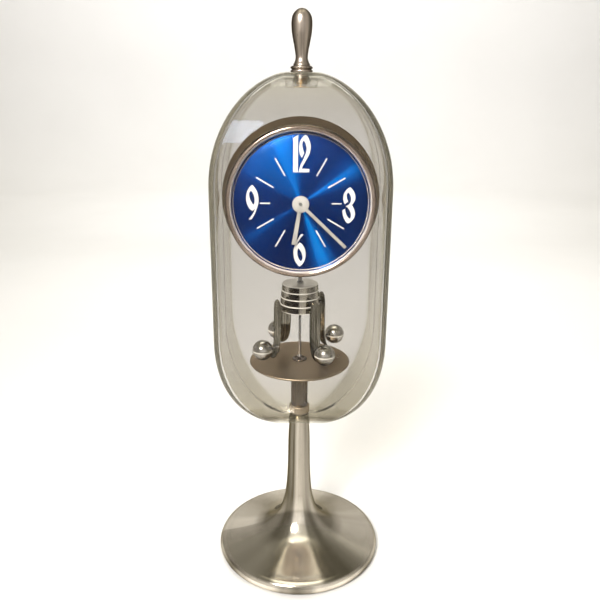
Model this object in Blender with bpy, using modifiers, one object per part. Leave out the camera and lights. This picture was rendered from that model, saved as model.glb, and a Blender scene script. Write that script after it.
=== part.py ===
"""Mantel clock: a torsion-pendulum movement in a clear case on a turned pedestal.

Frame: the origin is the middle of the underside, +Z is up and the dial faces -Y.
Sizes are in metres. Pieces that nearly touch keep a small gap between them.
"""
import math

import bmesh
import bpy
from mathutils import Vector

MM = 0.001
GAP = 0.3 * MM
NAME = "mantel_clock"

# Pedestal and post
PEDESTAL_TOP = 106.6 * MM
ROD_RADIUS = 2.0 * MM
ROD_BORE = 3.0 * MM
POST_RADIUS = 5.8 * MM
PLATFORM_TOP = 152.0 * MM
PLATFORM_THICK = 1.5 * MM
PLATFORM_RADIUS = 34.7 * MM

# Case: every level of it is a rectangle, and all four walls curve in at both ends
CASE_HALF_WIDTH = 54.7 * MM
CASE_HALF_DEPTH = 42.5 * MM
CASE_WALL = 3.8 * MM
CASE_TOP = 343.0 * MM
CASE_BOTTOM = 105.0 * MM
TOP_RISE_WIDE = 69.7 * MM
TOP_RISE_DEEP = 60.7 * MM
BOTTOM_RISE_WIDE = 72.4 * MM
BOTTOM_RISE_DEEP = 63.4 * MM
LAND_HALF_WIDTH = 12.5 * MM
CASE_STEPS = 9
SEAM_GAP = 0.15 * MM

# Dial, measured forward of the clock's axis and about the dial's centre
DIAL_HEIGHT = 265.1 * MM
DIAL_FACE = 27.5 * MM
DIAL_RADIUS = 42.9 * MM
HOUSING_MAX = 50.2 * MM
HOUSING_BACK = 5.0 * MM
MINUTE_ANGLE = 133.7
HOUR_ANGLE = 189.2

# Movement, measured forward of the clock's axis and about the dial's centre
FRONT_PLATE = (22.5 * MM, 21.0 * MM)
BACK_PLATE = (7.5 * MM, 6.0 * MM)
PLATE_HALF_WIDTH = 26 * MM
PLATE_HALF_HEIGHT = 36 * MM
PILLAR_X = 22 * MM
PILLAR_Z = 32 * MM
SUPPORT_X = 19 * MM
SUPPORT_Z = -3 * MM
BARREL_AT = (-11.0 * MM, -17.0 * MM)
INTERMEDIATE_AT = (4.5 * MM, -13.0 * MM)
CENTRE_AT = (0.0, 0.0)
THIRD_AT = (8.5 * MM, 11.6 * MM)
ESCAPE_AT = (0.0, 18.6 * MM)
ANCHOR_AT = (0.0, 28.1 * MM)
MINUTE_WHEEL_AT = (7.6 * MM, -4.0 * MM)
CLICK_AT = (-2.6 * MM, -11.4 * MM)

# Pendulum
DRUM_TOP = 207.5 * MM
DRUM_BOTTOM = 189.0 * MM
DRUM_TIERS = 4
DRUM_TOP_RADIUS = 12.1 * MM
DRUM_BOTTOM_RADIUS = 13.9 * MM
BALL_RADIUS = 6.85 * MM
BALL_ORBIT = 29.7 * MM
BALL_HEIGHT = 165.0 * MM
ARM_ANGLE = 33.6
ARM_WIDTH = 8.2 * MM

FACING_FRONT = (math.pi / 2, 0, 0)
SECTION_OF_X = (math.pi / 2, 0, math.pi / 2)


def clear_scene():
    for old in list(bpy.data.objects):
        bpy.data.objects.remove(old, do_unlink=True)


def new_collection(name):
    group = bpy.data.collections.new(name)
    bpy.context.scene.collection.children.link(group)
    return group


clear_scene()
PARTS = new_collection(NAME)
CUTTERS = new_collection(NAME + "_cutters")


def finish(name, colour, roughness, metallic, alpha=1.0):
    """A plain material of one colour."""
    material = bpy.data.materials.new(name)
    material.use_nodes = True
    shader = material.node_tree.nodes["Principled BSDF"]
    shader.inputs["Base Color"].default_value = (*colour, 1)
    shader.inputs["Roughness"].default_value = roughness
    shader.inputs["Metallic"].default_value = metallic
    shader.inputs["Alpha"].default_value = alpha
    material.diffuse_color = (*colour, alpha)
    return material


NICKEL = finish("polished_nickel", (0.62, 0.60, 0.55), 0.12, 1)
SATIN = finish("satin_nickel", (0.36, 0.33, 0.29), 0.38, 1)
HOUSING = finish("brushed_housing", (0.42, 0.38, 0.32), 0.35, 1)
BRASS = finish("brass", (0.70, 0.52, 0.22), 0.25, 1)
STEEL = finish("steel", (0.50, 0.50, 0.50), 0.30, 1)
CLEAR = finish("clear_acrylic", (0.86, 0.87, 0.82), 0.05, 0, 0.35)
GLASS = finish("crystal", (0.90, 0.92, 0.92), 0.02, 0, 0.3)
BLUE = finish("dial_blue", (0.01, 0.08, 0.42), 0.25, 0.6)
WHITE = finish("hand_white", (0.88, 0.85, 0.82), 0.45, 0)
FELT = finish("felt", (0.05, 0.09, 0.07), 0.95, 0)


def add_object(name, data, material, group=None):
    obj = bpy.data.objects.new(name, data)
    (group or PARTS).objects.link(obj)
    if material:
        data.materials.append(material)
    if group == CUTTERS:
        obj.hide_render = True
        obj.display_type = "WIRE"
    return obj


def place(obj, where, turn=(0, 0, 0)):
    obj.location = where
    obj.rotation_euler = turn
    return obj


def turned(name, profile, material, ring=False, steps=32, group=None):
    """Turn (radius, height) points, given down the outer side, about local Z."""
    edges = [(i, i + 1) for i in range(len(profile) - 1)]
    if ring:
        edges.append((len(profile) - 1, 0))
    mesh = bpy.data.meshes.new(name)
    mesh.from_pydata([(r, 0, z) for r, z in profile], edges, [])
    obj = add_object(name, mesh, material, group)
    screw = obj.modifiers.new("Turn", "SCREW")
    screw.axis = "Z"
    screw.angle = math.tau
    screw.steps = steps
    screw.render_steps = steps
    screw.use_merge_vertices = True
    screw.merge_threshold = 1e-6
    return obj


def sleeve(name, outer, inner, top, bottom, material, steps=24, group=None):
    """A plain tube between two heights."""
    profile = [(inner, top), (outer, top), (outer, bottom), (inner, bottom)]
    return turned(name, profile, material, True, steps, group)


def rod(name, radius, top, bottom, material, steps=16, group=None):
    """A plain round bar between two heights."""
    profile = [(0, top), (radius, top), (radius, bottom), (0, bottom)]
    return turned(name, profile, material, False, steps, group)


def flat(name, outlines, thickness, material, group=None):
    """A sheet in local XY: the first outline is its edge and the others are holes."""
    curve = bpy.data.curves.new(name, "CURVE")
    curve.dimensions = "2D"
    curve.fill_mode = "BOTH"
    curve.extrude = thickness / 2
    curve.render_resolution_u = 0
    for outline in outlines:
        spline = curve.splines.new("POLY")
        spline.points.add(len(outline) - 1)
        for point, (x, y) in zip(spline.points, outline):
            point.co = (x, y, 0, 1)
        spline.use_cyclic_u = True
    return as_mesh(add_object(name, curve, material, group), group)


def as_mesh(source, group=None):
    """Replace a curve object by a welded mesh object of the same name."""
    bpy.context.view_layer.update()
    depsgraph = bpy.context.evaluated_depsgraph_get()
    mesh = bpy.data.meshes.new_from_object(source.evaluated_get(depsgraph))
    name = source.name
    materials = [slot.material for slot in source.material_slots]
    matrix = source.matrix_world.copy()
    bpy.data.objects.remove(source, do_unlink=True)
    work = bmesh.new()
    work.from_mesh(mesh)
    bmesh.ops.remove_doubles(work, verts=work.verts, dist=1e-6)
    bmesh.ops.recalc_face_normals(work, faces=work.faces)
    work.to_mesh(mesh)
    work.free()
    mesh.name = name
    mesh.materials.clear()
    obj = add_object(name, mesh, None, group)
    for material in materials:
        mesh.materials.append(material)
    obj.matrix_world = matrix
    return obj


def circle(radius, count=16, at=(0, 0), start=0.0):
    return [(at[0] + radius * math.cos(start + math.tau * i / count),
             at[1] + radius * math.sin(start + math.tau * i / count)) for i in range(count)]


def rounded_rectangle(half_x, half_y, radius, at=(0, 0), steps=3):
    points = []
    for corner, (sx, sy) in enumerate(((1, 1), (-1, 1), (-1, -1), (1, -1))):
        for i in range(steps + 1):
            angle = math.pi / 2 * (corner + i / steps)
            points.append((at[0] + sx * (half_x - radius) + radius * math.cos(angle),
                           at[1] + sy * (half_y - radius) + radius * math.sin(angle)))
    return points


def combine(obj, other, operation):
    """Join another object to this one or cut it away."""
    modifier = obj.modifiers.new(operation.title(), "BOOLEAN")
    modifier.operation = operation
    modifier.solver = "EXACT"
    modifier.object = other
    other.hide_render = True
    other.display_type = "WIRE"
    return obj


def smooth(obj, angle=35):
    """Shade the round faces smooth and keep the edges crisp."""
    if obj.type == "MESH" and obj.data.polygons:
        obj.data.shade_smooth()
        obj.data.set_sharp_from_angle(angle=math.radians(angle))
    return obj


def at_dial(point, forward):
    """World place of a point on the dial's plane axes, at a distance forward."""
    return (point[0], -forward, DIAL_HEIGHT + point[1])


def repeat(name, first, places):
    """Name a piece NAME_1 and put copies of it, on the same mesh, at the other places."""
    first.name = name + "_1"
    place(first, *places[0])
    for number, spot in enumerate(places[1:], 2):
        twin = first.copy()
        twin.name = f"{name}_{number}"
        PARTS.objects.link(twin)
        place(twin, *spot)


# ---------------------------------------------------------------- pedestal and post

def pedestal():
    """Trumpet-shaped foot: a slim stem that sweeps out to a shallow cone with a rounded rim."""
    stem = [(7.0, 106.6), (7.8, 90), (8.2, 68), (9.0, 53)]
    flare = [(10.4, 42), (13.0, 32), (17.6, 24.6), (25.0, 18.6), (35.0, 14.4), (46.0, 11.2)]
    rim = [(56.0, 9.0), (58.8, 7.8), (59.5, 5.0), (58.8, 1.5)]
    hollow = [(54.5, 1.5), (52.5, 6.0), (25.0, 14.2), (14.0, 21.0), (9.5, 24.0)]
    profile = [(r * MM, z * MM) for r, z in stem + flare + rim + hollow]
    profile = [(ROD_BORE, PEDESTAL_TOP)] + profile + [(ROD_BORE, 24 * MM)]
    return smooth(turned("base_pedestal", profile, NICKEL, True, 32))


def felt_pad():
    return rod("base_pad", 56.4 * MM, 1.2 * MM, 0, FELT, 32)


def tie_rod_and_nut():
    rod("tie_rod", ROD_RADIUS, 141 * MM, 16 * MM, STEEL)
    sleeve("rod_washer", 8.5 * MM, 2.6 * MM, 23.7 * MM, 22.2 * MM, STEEL)
    nut = flat("rod_nut", [circle(4.6 * MM, 6), circle(2.3 * MM, 12)], 3.6 * MM, STEEL)
    place(nut, (0, 0, 20.1 * MM))


def post_and_platform():
    floor = case_land(CASE_BOTTOM, -BOTTOM_RISE_WIDE) + CASE_WALL
    collar = [(3.0, 6.5), (6.6, 6.5), (7.1, 6.0), (7.1, 0.3), (3.0, 0.3)]
    collar = [(r * MM, floor + z * MM) for r, z in collar]
    smooth(turned("floor_collar", collar, SATIN, True, 24))
    under = PLATFORM_TOP - PLATFORM_THICK - GAP
    smooth(sleeve("upper_post", POST_RADIUS, ROD_BORE, under, floor + 6.8 * MM, SATIN, 24))
    edge = 0.4 * MM
    low = PLATFORM_TOP - PLATFORM_THICK
    disc = [(ROD_BORE, PLATFORM_TOP), (PLATFORM_RADIUS - edge, PLATFORM_TOP),
            (PLATFORM_RADIUS, PLATFORM_TOP - edge), (PLATFORM_RADIUS, low), (ROD_BORE, low)]
    smooth(turned("platform_disc", disc, SATIN, True, 40))
    cup = [(0, 0.75), (0.9, 0.7), (1.7, 0.35), (3.2, 0.35), (3.9, 1.0), (4.7, 1.0), (5.1, 0.5),
           (5.1, 0.3), (2.6, 0.3), (2.6, -8.0), (0, -8.0)]
    smooth(turned("guide_cup", [(r * MM, PLATFORM_TOP + z * MM) for r, z in cup], SATIN, False, 20))


# ---------------------------------------------------------------- case

def case_land(end, rise):
    """Height of the small flat at an end of the case."""
    return end - rise * (1 - math.sqrt(1 - (LAND_HALF_WIDTH / CASE_HALF_WIDTH) ** 2))


def case_outline(half, top_rise, bottom_rise, inset):
    """One face of the case as an outline: straight sides with elliptical ends cut flat."""
    low_land = case_land(CASE_BOTTOM, -BOTTOM_RISE_WIDE) + inset
    high_land = case_land(CASE_TOP, TOP_RISE_WIDE) - inset
    half -= inset
    right = []
    for end, rise, land in ((CASE_BOTTOM, -bottom_rise, low_land), (CASE_TOP, top_rise, high_land)):
        middle = end - rise
        height = abs(rise) - inset
        stop = math.asin(abs(land - middle) / height)
        arc = [(half * math.cos(stop * i / CASE_STEPS),
                middle + math.copysign(height, rise) * math.sin(stop * i / CASE_STEPS))
               for i in range(CASE_STEPS + 1)]
        right += arc if rise > 0 else arc[::-1]
    return right + [(-x, z) for x, z in reversed(right)]


def case_solid(name, inset):
    """The case's outer or inner form: its front outline crossed with its side outline."""
    past = 2.4
    wide = case_outline(CASE_HALF_WIDTH, TOP_RISE_WIDE, BOTTOM_RISE_WIDE, inset)
    deep = case_outline(CASE_HALF_DEPTH, TOP_RISE_DEEP, BOTTOM_RISE_DEEP, inset)
    solid = flat(name, [wide], past * CASE_HALF_DEPTH, CLEAR, CUTTERS)
    place(solid, (0, 0, 0), FACING_FRONT)
    crossing = flat(name + "_side", [deep], past * CASE_HALF_WIDTH, CLEAR, CUTTERS)
    place(crossing, (0, 0, 0), SECTION_OF_X)
    return combine(solid, crossing, "INTERSECT")


def box(name, low, high, material=None, group=None):
    """A block between two corners."""
    bpy.ops.mesh.primitive_cube_add(size=1)
    obj = bpy.context.active_object
    obj.name = name
    obj.data.name = name
    for old in list(obj.users_collection):
        old.objects.unlink(obj)
    (group or PARTS).objects.link(obj)
    low, high = Vector(low), Vector(high)
    for vertex in obj.data.vertices:
        spread = Vector((vertex.co.x * (high - low).x, vertex.co.y * (high - low).y,
                         vertex.co.z * (high - low).z))
        vertex.co = spread + (low + high) / 2
    if material:
        obj.data.materials.append(material)
    return obj


def baked(obj, name, material):
    """A plain mesh object with the modifiers of another worked out."""
    bpy.context.view_layer.update()
    depsgraph = bpy.context.evaluated_depsgraph_get()
    mesh = bpy.data.meshes.new_from_object(obj.evaluated_get(depsgraph))
    mesh.transform(obj.matrix_world)
    mesh.name = name
    mesh.materials.clear()
    return add_object(name, mesh, material)


def case_shells():
    """Front and rear half shells, clamped between pedestal and finial."""
    outer = case_solid("case_outer", 0.0)
    inner = case_solid("case_inner", CASE_WALL)
    rod_hole = rod("case_rod_hole", 2.6 * MM, 400 * MM, 60 * MM, None, 20, CUTTERS)
    far = 100 * MM
    sides = {"rear_shell": (-far, SEAM_GAP), "front_shell": (-SEAM_GAP, far)}
    for name, (low_y, high_y) in sides.items():
        shell = baked(outer, name, CLEAR)
        combine(shell, inner, "DIFFERENCE")
        half = box(name + "_cut", (-far, low_y, 0), (far, high_y, 4 * far), None, CUTTERS)
        combine(shell, half, "DIFFERENCE")
        combine(shell, rod_hole, "DIFFERENCE")
        if name == "rear_shell":
            for cutter in rear_holes():
                combine(shell, cutter, "DIFFERENCE")


def rear_holes():
    """Cutters for the key hole and the holes of the support screws."""
    key = rod("key_hole_cut", 7 * MM, -30 * MM, -60 * MM, None, 24, CUTTERS)
    cutters = [place(key, at_dial(BARREL_AT, 0), FACING_FRONT)]
    for x, z in support_spots():
        hole = rod("support_hole_cut", 1.9 * MM, -30 * MM, -60 * MM, None, 12, CUTTERS)
        cutters.append(place(hole, at_dial((x, z), 0), FACING_FRONT))
    return cutters


def clamp_and_finial():
    ceiling = case_land(CASE_TOP, TOP_RISE_WIDE) - CASE_WALL
    block = flat("clamp_block", [rounded_rectangle(10 * MM, 8 * MM, 1.2 * MM), circle(5 * MM, 20)],
                 4.5 * MM, CLEAR)
    place(block, (0, 0, ceiling - GAP - 2.25 * MM))
    sleeve("clamp_nut", 4.7 * MM, 2.3 * MM, ceiling - GAP, ceiling - GAP - 4.5 * MM, BRASS, 20)
    rod("finial_stud", ROD_RADIUS, 349 * MM, 333 * MM, STEEL)
    seat = case_land(CASE_TOP, TOP_RISE_WIDE) + GAP
    head = [(0, 377.7), (3.0, 377.0), (5.2, 374.8), (6.4, 371.5), (6.6, 368.0), (6.2, 363.0),
            (4.7, 356.5), (3.9, 352.0), (3.7, 349.5), (4.6, 346.6), (5.5, 345.2), (7.4, 344.4)]
    profile = [(r * MM, z * MM) for r, z in head]
    profile += [(7.0 * MM, seat), (2.3 * MM, seat), (2.3 * MM, 349.4 * MM), (0, 349.4 * MM)]
    smooth(turned("finial", profile, NICKEL, False, 20))


# ---------------------------------------------------------------- dial and hands

def facing(name, profile, material, ring=False, steps=32, at=(0, 0)):
    """A turned piece about an axis through the dial plane; heights run forward."""
    obj = turned(name, [(r * MM, f * MM) for r, f in profile], material, ring, steps)
    return smooth(place(obj, at_dial(at, 0), FACING_FRONT))


def upright(name, outlines, forward, back, material):
    """A sheet that faces the front, between two distances forward of the axis."""
    obj = flat(name, outlines, abs(forward - back), material)
    return place(obj, at_dial((0, 0), (forward + back) / 2), FACING_FRONT)


def dial_housing():
    back = HOUSING_BACK / MM
    widest = HOUSING_MAX / MM
    outside = [(43.3, 27.2), (45.3, 27.2), (46.9, 21.0), (48.9, 12.0), (widest, 6.0),
               (widest - 0.3, back), (47.5, back)]
    inside = [(47.5, 5.8), (49.2, 6.2), (48.0, 12.0), (46.0, 21.0), (45.0, 25.6), (36.8, 25.6),
              (36.8, 26.4), (43.3, 26.4)]
    facing("dial_housing", outside + inside, HOUSING, True, 32)


def bezel_and_crystal():
    ring = [(42.2, 29.6), (43.0, 30.6), (44.1, 30.9), (45.4, 30.3), (46.0, 28.8), (45.6, 27.8),
            (42.2, 27.8)]
    facing("bezel", ring, NICKEL, True, 32)
    rise, edge, thick = 7.6, 29.2, 1.0
    angles = [math.pi / 2 * i / 5 for i in range(6)]
    outer = [(41.9 * math.sin(a), edge + rise * max(0, math.cos(a)) ** 0.5) for a in angles]
    inner = [(40.9 * math.sin(a), edge - 0.6 + (rise - thick + 0.6) * max(0, math.cos(a)) ** 0.5)
             for a in reversed(angles)]
    skirt = [(41.9, 28.1), (40.9, 28.1)]
    facing("crystal", outer + skirt + inner, GLASS, False, 24)


def dial_plate():
    face = DIAL_FACE
    plate = [circle(DIAL_RADIUS, 48), circle(2.6 * MM, 12)]
    upright("dial_plate", plate, face, face - 0.6 * MM, BLUE)


def hand(name, hub, length, width, tip_width, hole, forward, thick, angle, material):
    """A disc with a square-ended blade, turned clockwise from twelve."""
    half, tip = width / 2, tip_width / 2
    start = math.asin(half / hub)
    arc = [start + (math.tau - 2 * start) * i / 20 for i in range(21)]
    outline = [(length, -tip), (length, tip)]
    outline += [(hub * math.cos(a), hub * math.sin(a)) for a in arc]
    obj = flat(name, [outline, circle(hole, 12)], thick, material)
    place(obj, at_dial((0, 0), forward), (math.pi / 2, math.radians(angle - 90), 0))
    return obj


def hands():
    hand("minute_hand", 5.1 * MM, 38.3 * MM, 1.9 * MM, 2.0 * MM, 0.9 * MM, 31.1 * MM, 0.4 * MM,
         MINUTE_ANGLE, WHITE)
    hand("hour_hand", 4.4 * MM, 25.4 * MM, 2.2 * MM, 2.8 * MM, 1.55 * MM, 29.5 * MM, 0.4 * MM,
         HOUR_ANGLE, WHITE)


# ---------------------------------------------------------------- movement

def support_spots():
    return [(-SUPPORT_X, SUPPORT_Z), (SUPPORT_X, SUPPORT_Z)]


def pillar_spots():
    return [(sx * PILLAR_X, sz * PILLAR_Z) for sx in (-1, 1) for sz in (-1, 1)]


def pivot_holes():
    return [circle(0.9 * MM, 8, spot) for spot in (INTERMEDIATE_AT, THIRD_AT, ESCAPE_AT)]


def movement_plates():
    outline = rounded_rectangle(PLATE_HALF_WIDTH, PLATE_HALF_HEIGHT, 4 * MM)
    shared = pivot_holes() + [circle(1.2 * MM, 8, CENTRE_AT)]
    front = shared + [circle(1.9 * MM, 10, BARREL_AT), circle(0.9 * MM, 8, ANCHOR_AT),
                      circle(0.8 * MM, 8, MINUTE_WHEEL_AT)]
    front += [circle(2.1 * MM, 8, spot) for spot in pillar_spots()]
    upright("front_plate", [outline] + front, *FRONT_PLATE, BRASS)
    back = shared + [circle(2.9 * MM, 12, BARREL_AT), circle(1.6 * MM, 8, ANCHOR_AT)]
    upright("back_plate", [outline] + back, *BACK_PLATE, BRASS)


def facing_spots(points):
    return [(at_dial(point, 0), FACING_FRONT) for point in points]


def movement_posts():
    """Pillars that carry both plates and the housing, and posts to the case's rear wall."""
    inside, ahead = FRONT_PLATE[1] / MM - 0.3, BACK_PLATE[0] / MM + 0.3
    pillar = [(0, 25.3), (1.7, 25.3), (1.7, inside), (2.4, inside), (2.4, ahead), (0, ahead)]
    piece = turned("pillar", [(r * MM, f * MM) for r, f in pillar], BRASS, False, 14)
    repeat("plate_pillar", piece, facing_spots(pillar_spots()))
    rear = BACK_PLATE[1] - GAP, -(CASE_HALF_DEPTH - CASE_WALL) + GAP
    repeat("support_post", rod("post", 2.5 * MM, *rear, NICKEL, 14), facing_spots(support_spots()))
    wall = -CASE_HALF_DEPTH
    head = [(0, 3.9), (1.6, 3.9), (1.6, -0.3), (3.4, -0.3), (3.4, -1.4), (2.4, -2.2), (0, -2.2)]
    screw = turned("screw", [(r * MM, wall + f * MM) for r, f in head], STEEL, False, 14)
    repeat("support_screw", screw, facing_spots(support_spots()))


def toothed(radius, teeth, depth):
    """Outline of a wheel with pointed teeth."""
    points = []
    for i in range(teeth):
        for share, r in ((0.0, radius - depth), (0.3, radius - depth), (0.65, radius)):
            angle = math.tau * (i + share) / teeth
            points.append((r * math.cos(angle), r * math.sin(angle)))
    return points


def crossings(rim, hub, arms):
    """Openings between a wheel's arms."""
    windows = []
    for i in range(arms):
        start = math.tau * (i + 0.13) / arms
        stop = math.tau * (i + 0.87) / arms
        outside = [start + (stop - start) * j / 3 for j in range(4)]
        middle = (start + stop) / 2
        window = [(rim * math.cos(a), rim * math.sin(a)) for a in outside]
        window.append((hub * math.cos(middle), hub * math.sin(middle)))
        windows.append(window)
    return windows


def arbor(pivot, body, pinion, ends, shoulders, leaves):
    """Profile of an arbor: thin pivots, a body, and a thicker pinion along part of it."""
    front, back = ends
    top, bottom = shoulders
    high, low = leaves
    return [(0, front), (pivot, front), (pivot, top), (body, top), (body, high), (pinion, high),
            (pinion, low), (body, low), (body, bottom), (pivot, bottom), (pivot, back), (0, back)]


def wheel_set(name, at, radius, teeth, forward, profile, material=BRASS, arms=4, thick=1.0):
    """A toothed wheel joined to its arbor."""
    outline = toothed(radius * MM, teeth, 0.9 * MM)
    windows = crossings((radius - 2.2) * MM, 2.6 * MM, arms) if arms else []
    wheel = flat(name, [outline] + windows, thick * MM, material)
    place(wheel, at_dial(at, forward * MM), FACING_FRONT)
    shaft = turned(name + "_arbor", [(r * MM, f * MM) for r, f in profile], material, False, 8,
                   CUTTERS)
    place(shaft, at_dial(at, 0), FACING_FRONT)
    return combine(wheel, shaft, "UNION")


def going_train():
    """Wheels from the spring barrel to the escape wheel; each clears the next by a hair."""
    ends, shoulders = (22.2, 6.3), (20.4, 8.1)
    wheel_set("intermediate_wheel", INTERMEDIATE_AT, 11.2, 24, 10.4,
              arbor(0.5, 0.9, 1.9, ends, shoulders, (14.0, 11.6)))
    wheel_set("centre_wheel", CENTRE_AT, 11.2, 24, 8.75,
              arbor(0.6, 1.0, 1.9, (31.9, 6.3), (20.4, 8.1), (11.4, 9.8)))
    wheel_set("third_wheel", THIRD_AT, 8.5, 20, 13.5,
              arbor(0.5, 0.9, 2.8, ends, shoulders, (9.9, 8.2)))
    wheel_set("escape_wheel", ESCAPE_AT, 6.9, 15, 17.0,
              arbor(0.5, 0.9, 2.1, ends, shoulders, (14.4, 12.6)), BRASS, 4, 0.8)


def spring_barrel():
    """Barrel with a toothed rim, the spring coiled in it, and the arbor that winds it."""
    drum = [(2.9, 19.4), (12.4, 19.4), (12.4, 13.3), (11.7, 13.3), (11.7, 18.6), (2.9, 18.6)]
    cup = facing("barrel_drum", drum, BRASS, True, 24, BARREL_AT)
    lid = upright("barrel_wheel", [toothed(13.4 * MM, 30, 0.9 * MM), circle(2.9 * MM, 12)],
                  13.6 * MM, 12.4 * MM, BRASS)
    place(lid, at_dial(BARREL_AT, 13.0 * MM), FACING_FRONT)
    cup.name = "barrel"
    PARTS.objects.unlink(lid)
    CUTTERS.objects.link(lid)
    combine(cup, lid, "UNION")
    turns, start, stop, ribbon = 4, 3.9 * MM, 10.9 * MM, 0.35 * MM
    steps = turns * 12
    inner, outer = [], []
    for i in range(steps + 1):
        angle = math.tau * turns * i / steps
        radius = start + (stop - start) * i / steps
        inner.append((radius * math.cos(angle), radius * math.sin(angle)))
        outer.append(((radius + ribbon) * math.cos(angle), (radius + ribbon) * math.sin(angle)))
    spring = flat("mainspring", [outer + inner[::-1]], 4.0 * MM, STEEL)
    place(spring, at_dial(BARREL_AT, 16.2 * MM), FACING_FRONT)
    winder = [(0, 22.2), (1.5, 22.2), (1.5, 20.4), (2.5, 20.4), (2.5, -3.0), (1.9, -3.0),
              (1.9, -12.0), (1.5, -12.4), (0, -12.4)]
    facing("winding_arbor", winder, STEEL, False, 16, BARREL_AT)
    ratchet = flat("ratchet_wheel", [toothed(5.4 * MM, 16, 0.8 * MM), circle(2.8 * MM, 16)],
                   1.0 * MM, STEEL)
    place(ratchet, at_dial(BARREL_AT, 5.0 * MM), FACING_FRONT)
    click = [(5.9, 0.5), (4.6, 0.9), (1.2, 1.9), (0, 2.3), (-1.8, 1.6), (-2.3, 0), (-1.8, -1.6),
             (0, -2.3), (1.2, -1.2), (4.4, -0.2)]
    lever = flat("click", [[(x * MM, z * MM) for x, z in click], circle(0.9 * MM, 10)],
                 1.0 * MM, STEEL)
    place(lever, at_dial(CLICK_AT, 5.0 * MM), (math.pi / 2, math.radians(178), 0))
    pin = [(0, 5.7), (0.6, 5.7), (0.6, 4.1), (1.4, 4.1), (1.4, 3.4), (0, 3.4)]
    facing("click_screw", pin, STEEL, False, 12, CLICK_AT)


def motion_work():
    """Gears behind the dial that carry the hands."""
    cannon = [(0.9, 30.6), (1.25, 30.6), (1.25, 23.7), (2.1, 23.7), (2.1, 22.8), (0.9, 22.8)]
    facing("cannon_pinion", cannon, STEEL, True, 14)
    wheel = flat("hour_wheel", [toothed(6.5 * MM, 20, 0.7 * MM), circle(1.55 * MM, 12)],
                 0.8 * MM, BRASS)
    place(wheel, at_dial(CENTRE_AT, 25.0 * MM), FACING_FRONT)
    pipe = [(1.55, 29.0), (2.0, 29.0), (2.0, 24.8), (1.55, 24.8)]
    tube = turned("hour_pipe", [(r * MM, f * MM) for r, f in pipe], BRASS, True, 12, CUTTERS)
    place(tube, at_dial(CENTRE_AT, 0), FACING_FRONT)
    combine(wheel, tube, "UNION")
    stud = [(0, 26.2), (1.7, 26.2), (1.7, 23.4), (1.0, 23.3), (1.0, 22.75), (0.45, 22.75),
            (0.45, 21.4), (0, 21.4)]
    idler = flat("minute_wheel", [toothed(6.0 * MM, 20, 0.7 * MM)], 0.7 * MM, BRASS)
    place(idler, at_dial(MINUTE_WHEEL_AT, 23.25 * MM), FACING_FRONT)
    post = turned("minute_pinion", [(r * MM, f * MM) for r, f in stud], BRASS, False, 12, CUTTERS)
    place(post, at_dial(MINUTE_WHEEL_AT, 0), FACING_FRONT)
    combine(idler, post, "UNION")


def escapement():
    """Anchor that rocks over the escape wheel, with the pin that drives the fork."""
    reach = ESCAPE_AT[1] - ANCHOR_AT[1]
    clear = 7.9 * MM
    outer = clear + 1.5 * MM
    arc = [math.radians(90 - 48 + 96 * i / 10) for i in range(11)]
    outline = [(outer * math.cos(a), reach + outer * math.sin(a)) for a in arc]
    outline += [(clear * math.cos(a), reach + clear * math.sin(a)) for a in reversed(arc)]
    yoke = flat("anchor", [outline], 1.4 * MM, STEEL)
    place(yoke, at_dial(ANCHOR_AT, 17.0 * MM), FACING_FRONT)
    shaft = [(0, 22.2), (0.5, 22.2), (0.5, 20.4), (1.0, 20.4), (1.0, 18.4), (1.3, 18.4),
             (1.3, 15.6), (1.0, 15.6), (1.0, 3.9), (0, 3.9)]
    axle = turned("anchor_arbor", [(r * MM, f * MM) for r, f in shaft], STEEL, False, 12, CUTTERS)
    place(axle, at_dial(ANCHOR_AT, 0), FACING_FRONT)
    combine(yoke, axle, "UNION")
    low = DIAL_HEIGHT + ANCHOR_AT[1]
    pin = rod("anchor_pin", 0.4 * MM, low + 9.3 * MM, low, STEEL, 8, CUTTERS)
    place(pin, (0, -4.6 * MM, 0))
    combine(yoke, pin, "UNION")


def suspension():
    """Bracket on the back plate, the ribbon that carries the pendulum, and its fork."""
    top = DIAL_HEIGHT
    legs = [(-8, 25), (-4, 25), (-4, 40), (4, 40), (4, 25), (8, 25), (8, 44), (-8, 44)]
    bracket = upright("suspension_bracket", [[(x * MM, z * MM) for x, z in legs]],
                      5.7 * MM, 4.5 * MM, BRASS)
    shelf = box("bracket_shelf", (-4 * MM, -5.0 * MM, top + 42.2 * MM),
                (4 * MM, 3.0 * MM, top + 43.8 * MM), BRASS, CUTTERS)
    combine(bracket, shelf, "UNION")
    block = flat("top_block", [rounded_rectangle(2.2 * MM, 2.6 * MM, 0.5 * MM)], 1.6 * MM, BRASS)
    place(block, (0, 0, top + 39.2 * MM), FACING_FRONT)
    box("suspension_spring", (-0.6 * MM, -0.15 * MM, 217.4 * MM),
        (0.6 * MM, 0.15 * MM, top + 36.3 * MM), STEEL)
    prongs = [(-2, 1.6), (-2, -5.4), (-1.2, -5.4), (-1.2, -1.4), (1.2, -1.4), (1.2, -5.4),
              (2, -5.4), (2, 1.6)]
    slot = [(-0.95, -0.5), (0.95, -0.5), (0.95, 0.5), (-0.95, 0.5)]
    fork = flat("fork", [[(x * MM, y * MM) for x, y in prongs], [(x * MM, y * MM) for x, y in slot]],
                1.4 * MM, BRASS)
    place(fork, (0, 0, top + 34.2 * MM))


# ---------------------------------------------------------------- pendulum

def tier_radius(height):
    share = (DRUM_TOP - height) / (DRUM_TOP - DRUM_BOTTOM)
    return DRUM_TOP_RADIUS + share * (DRUM_BOTTOM_RADIUS - DRUM_TOP_RADIUS)


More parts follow.
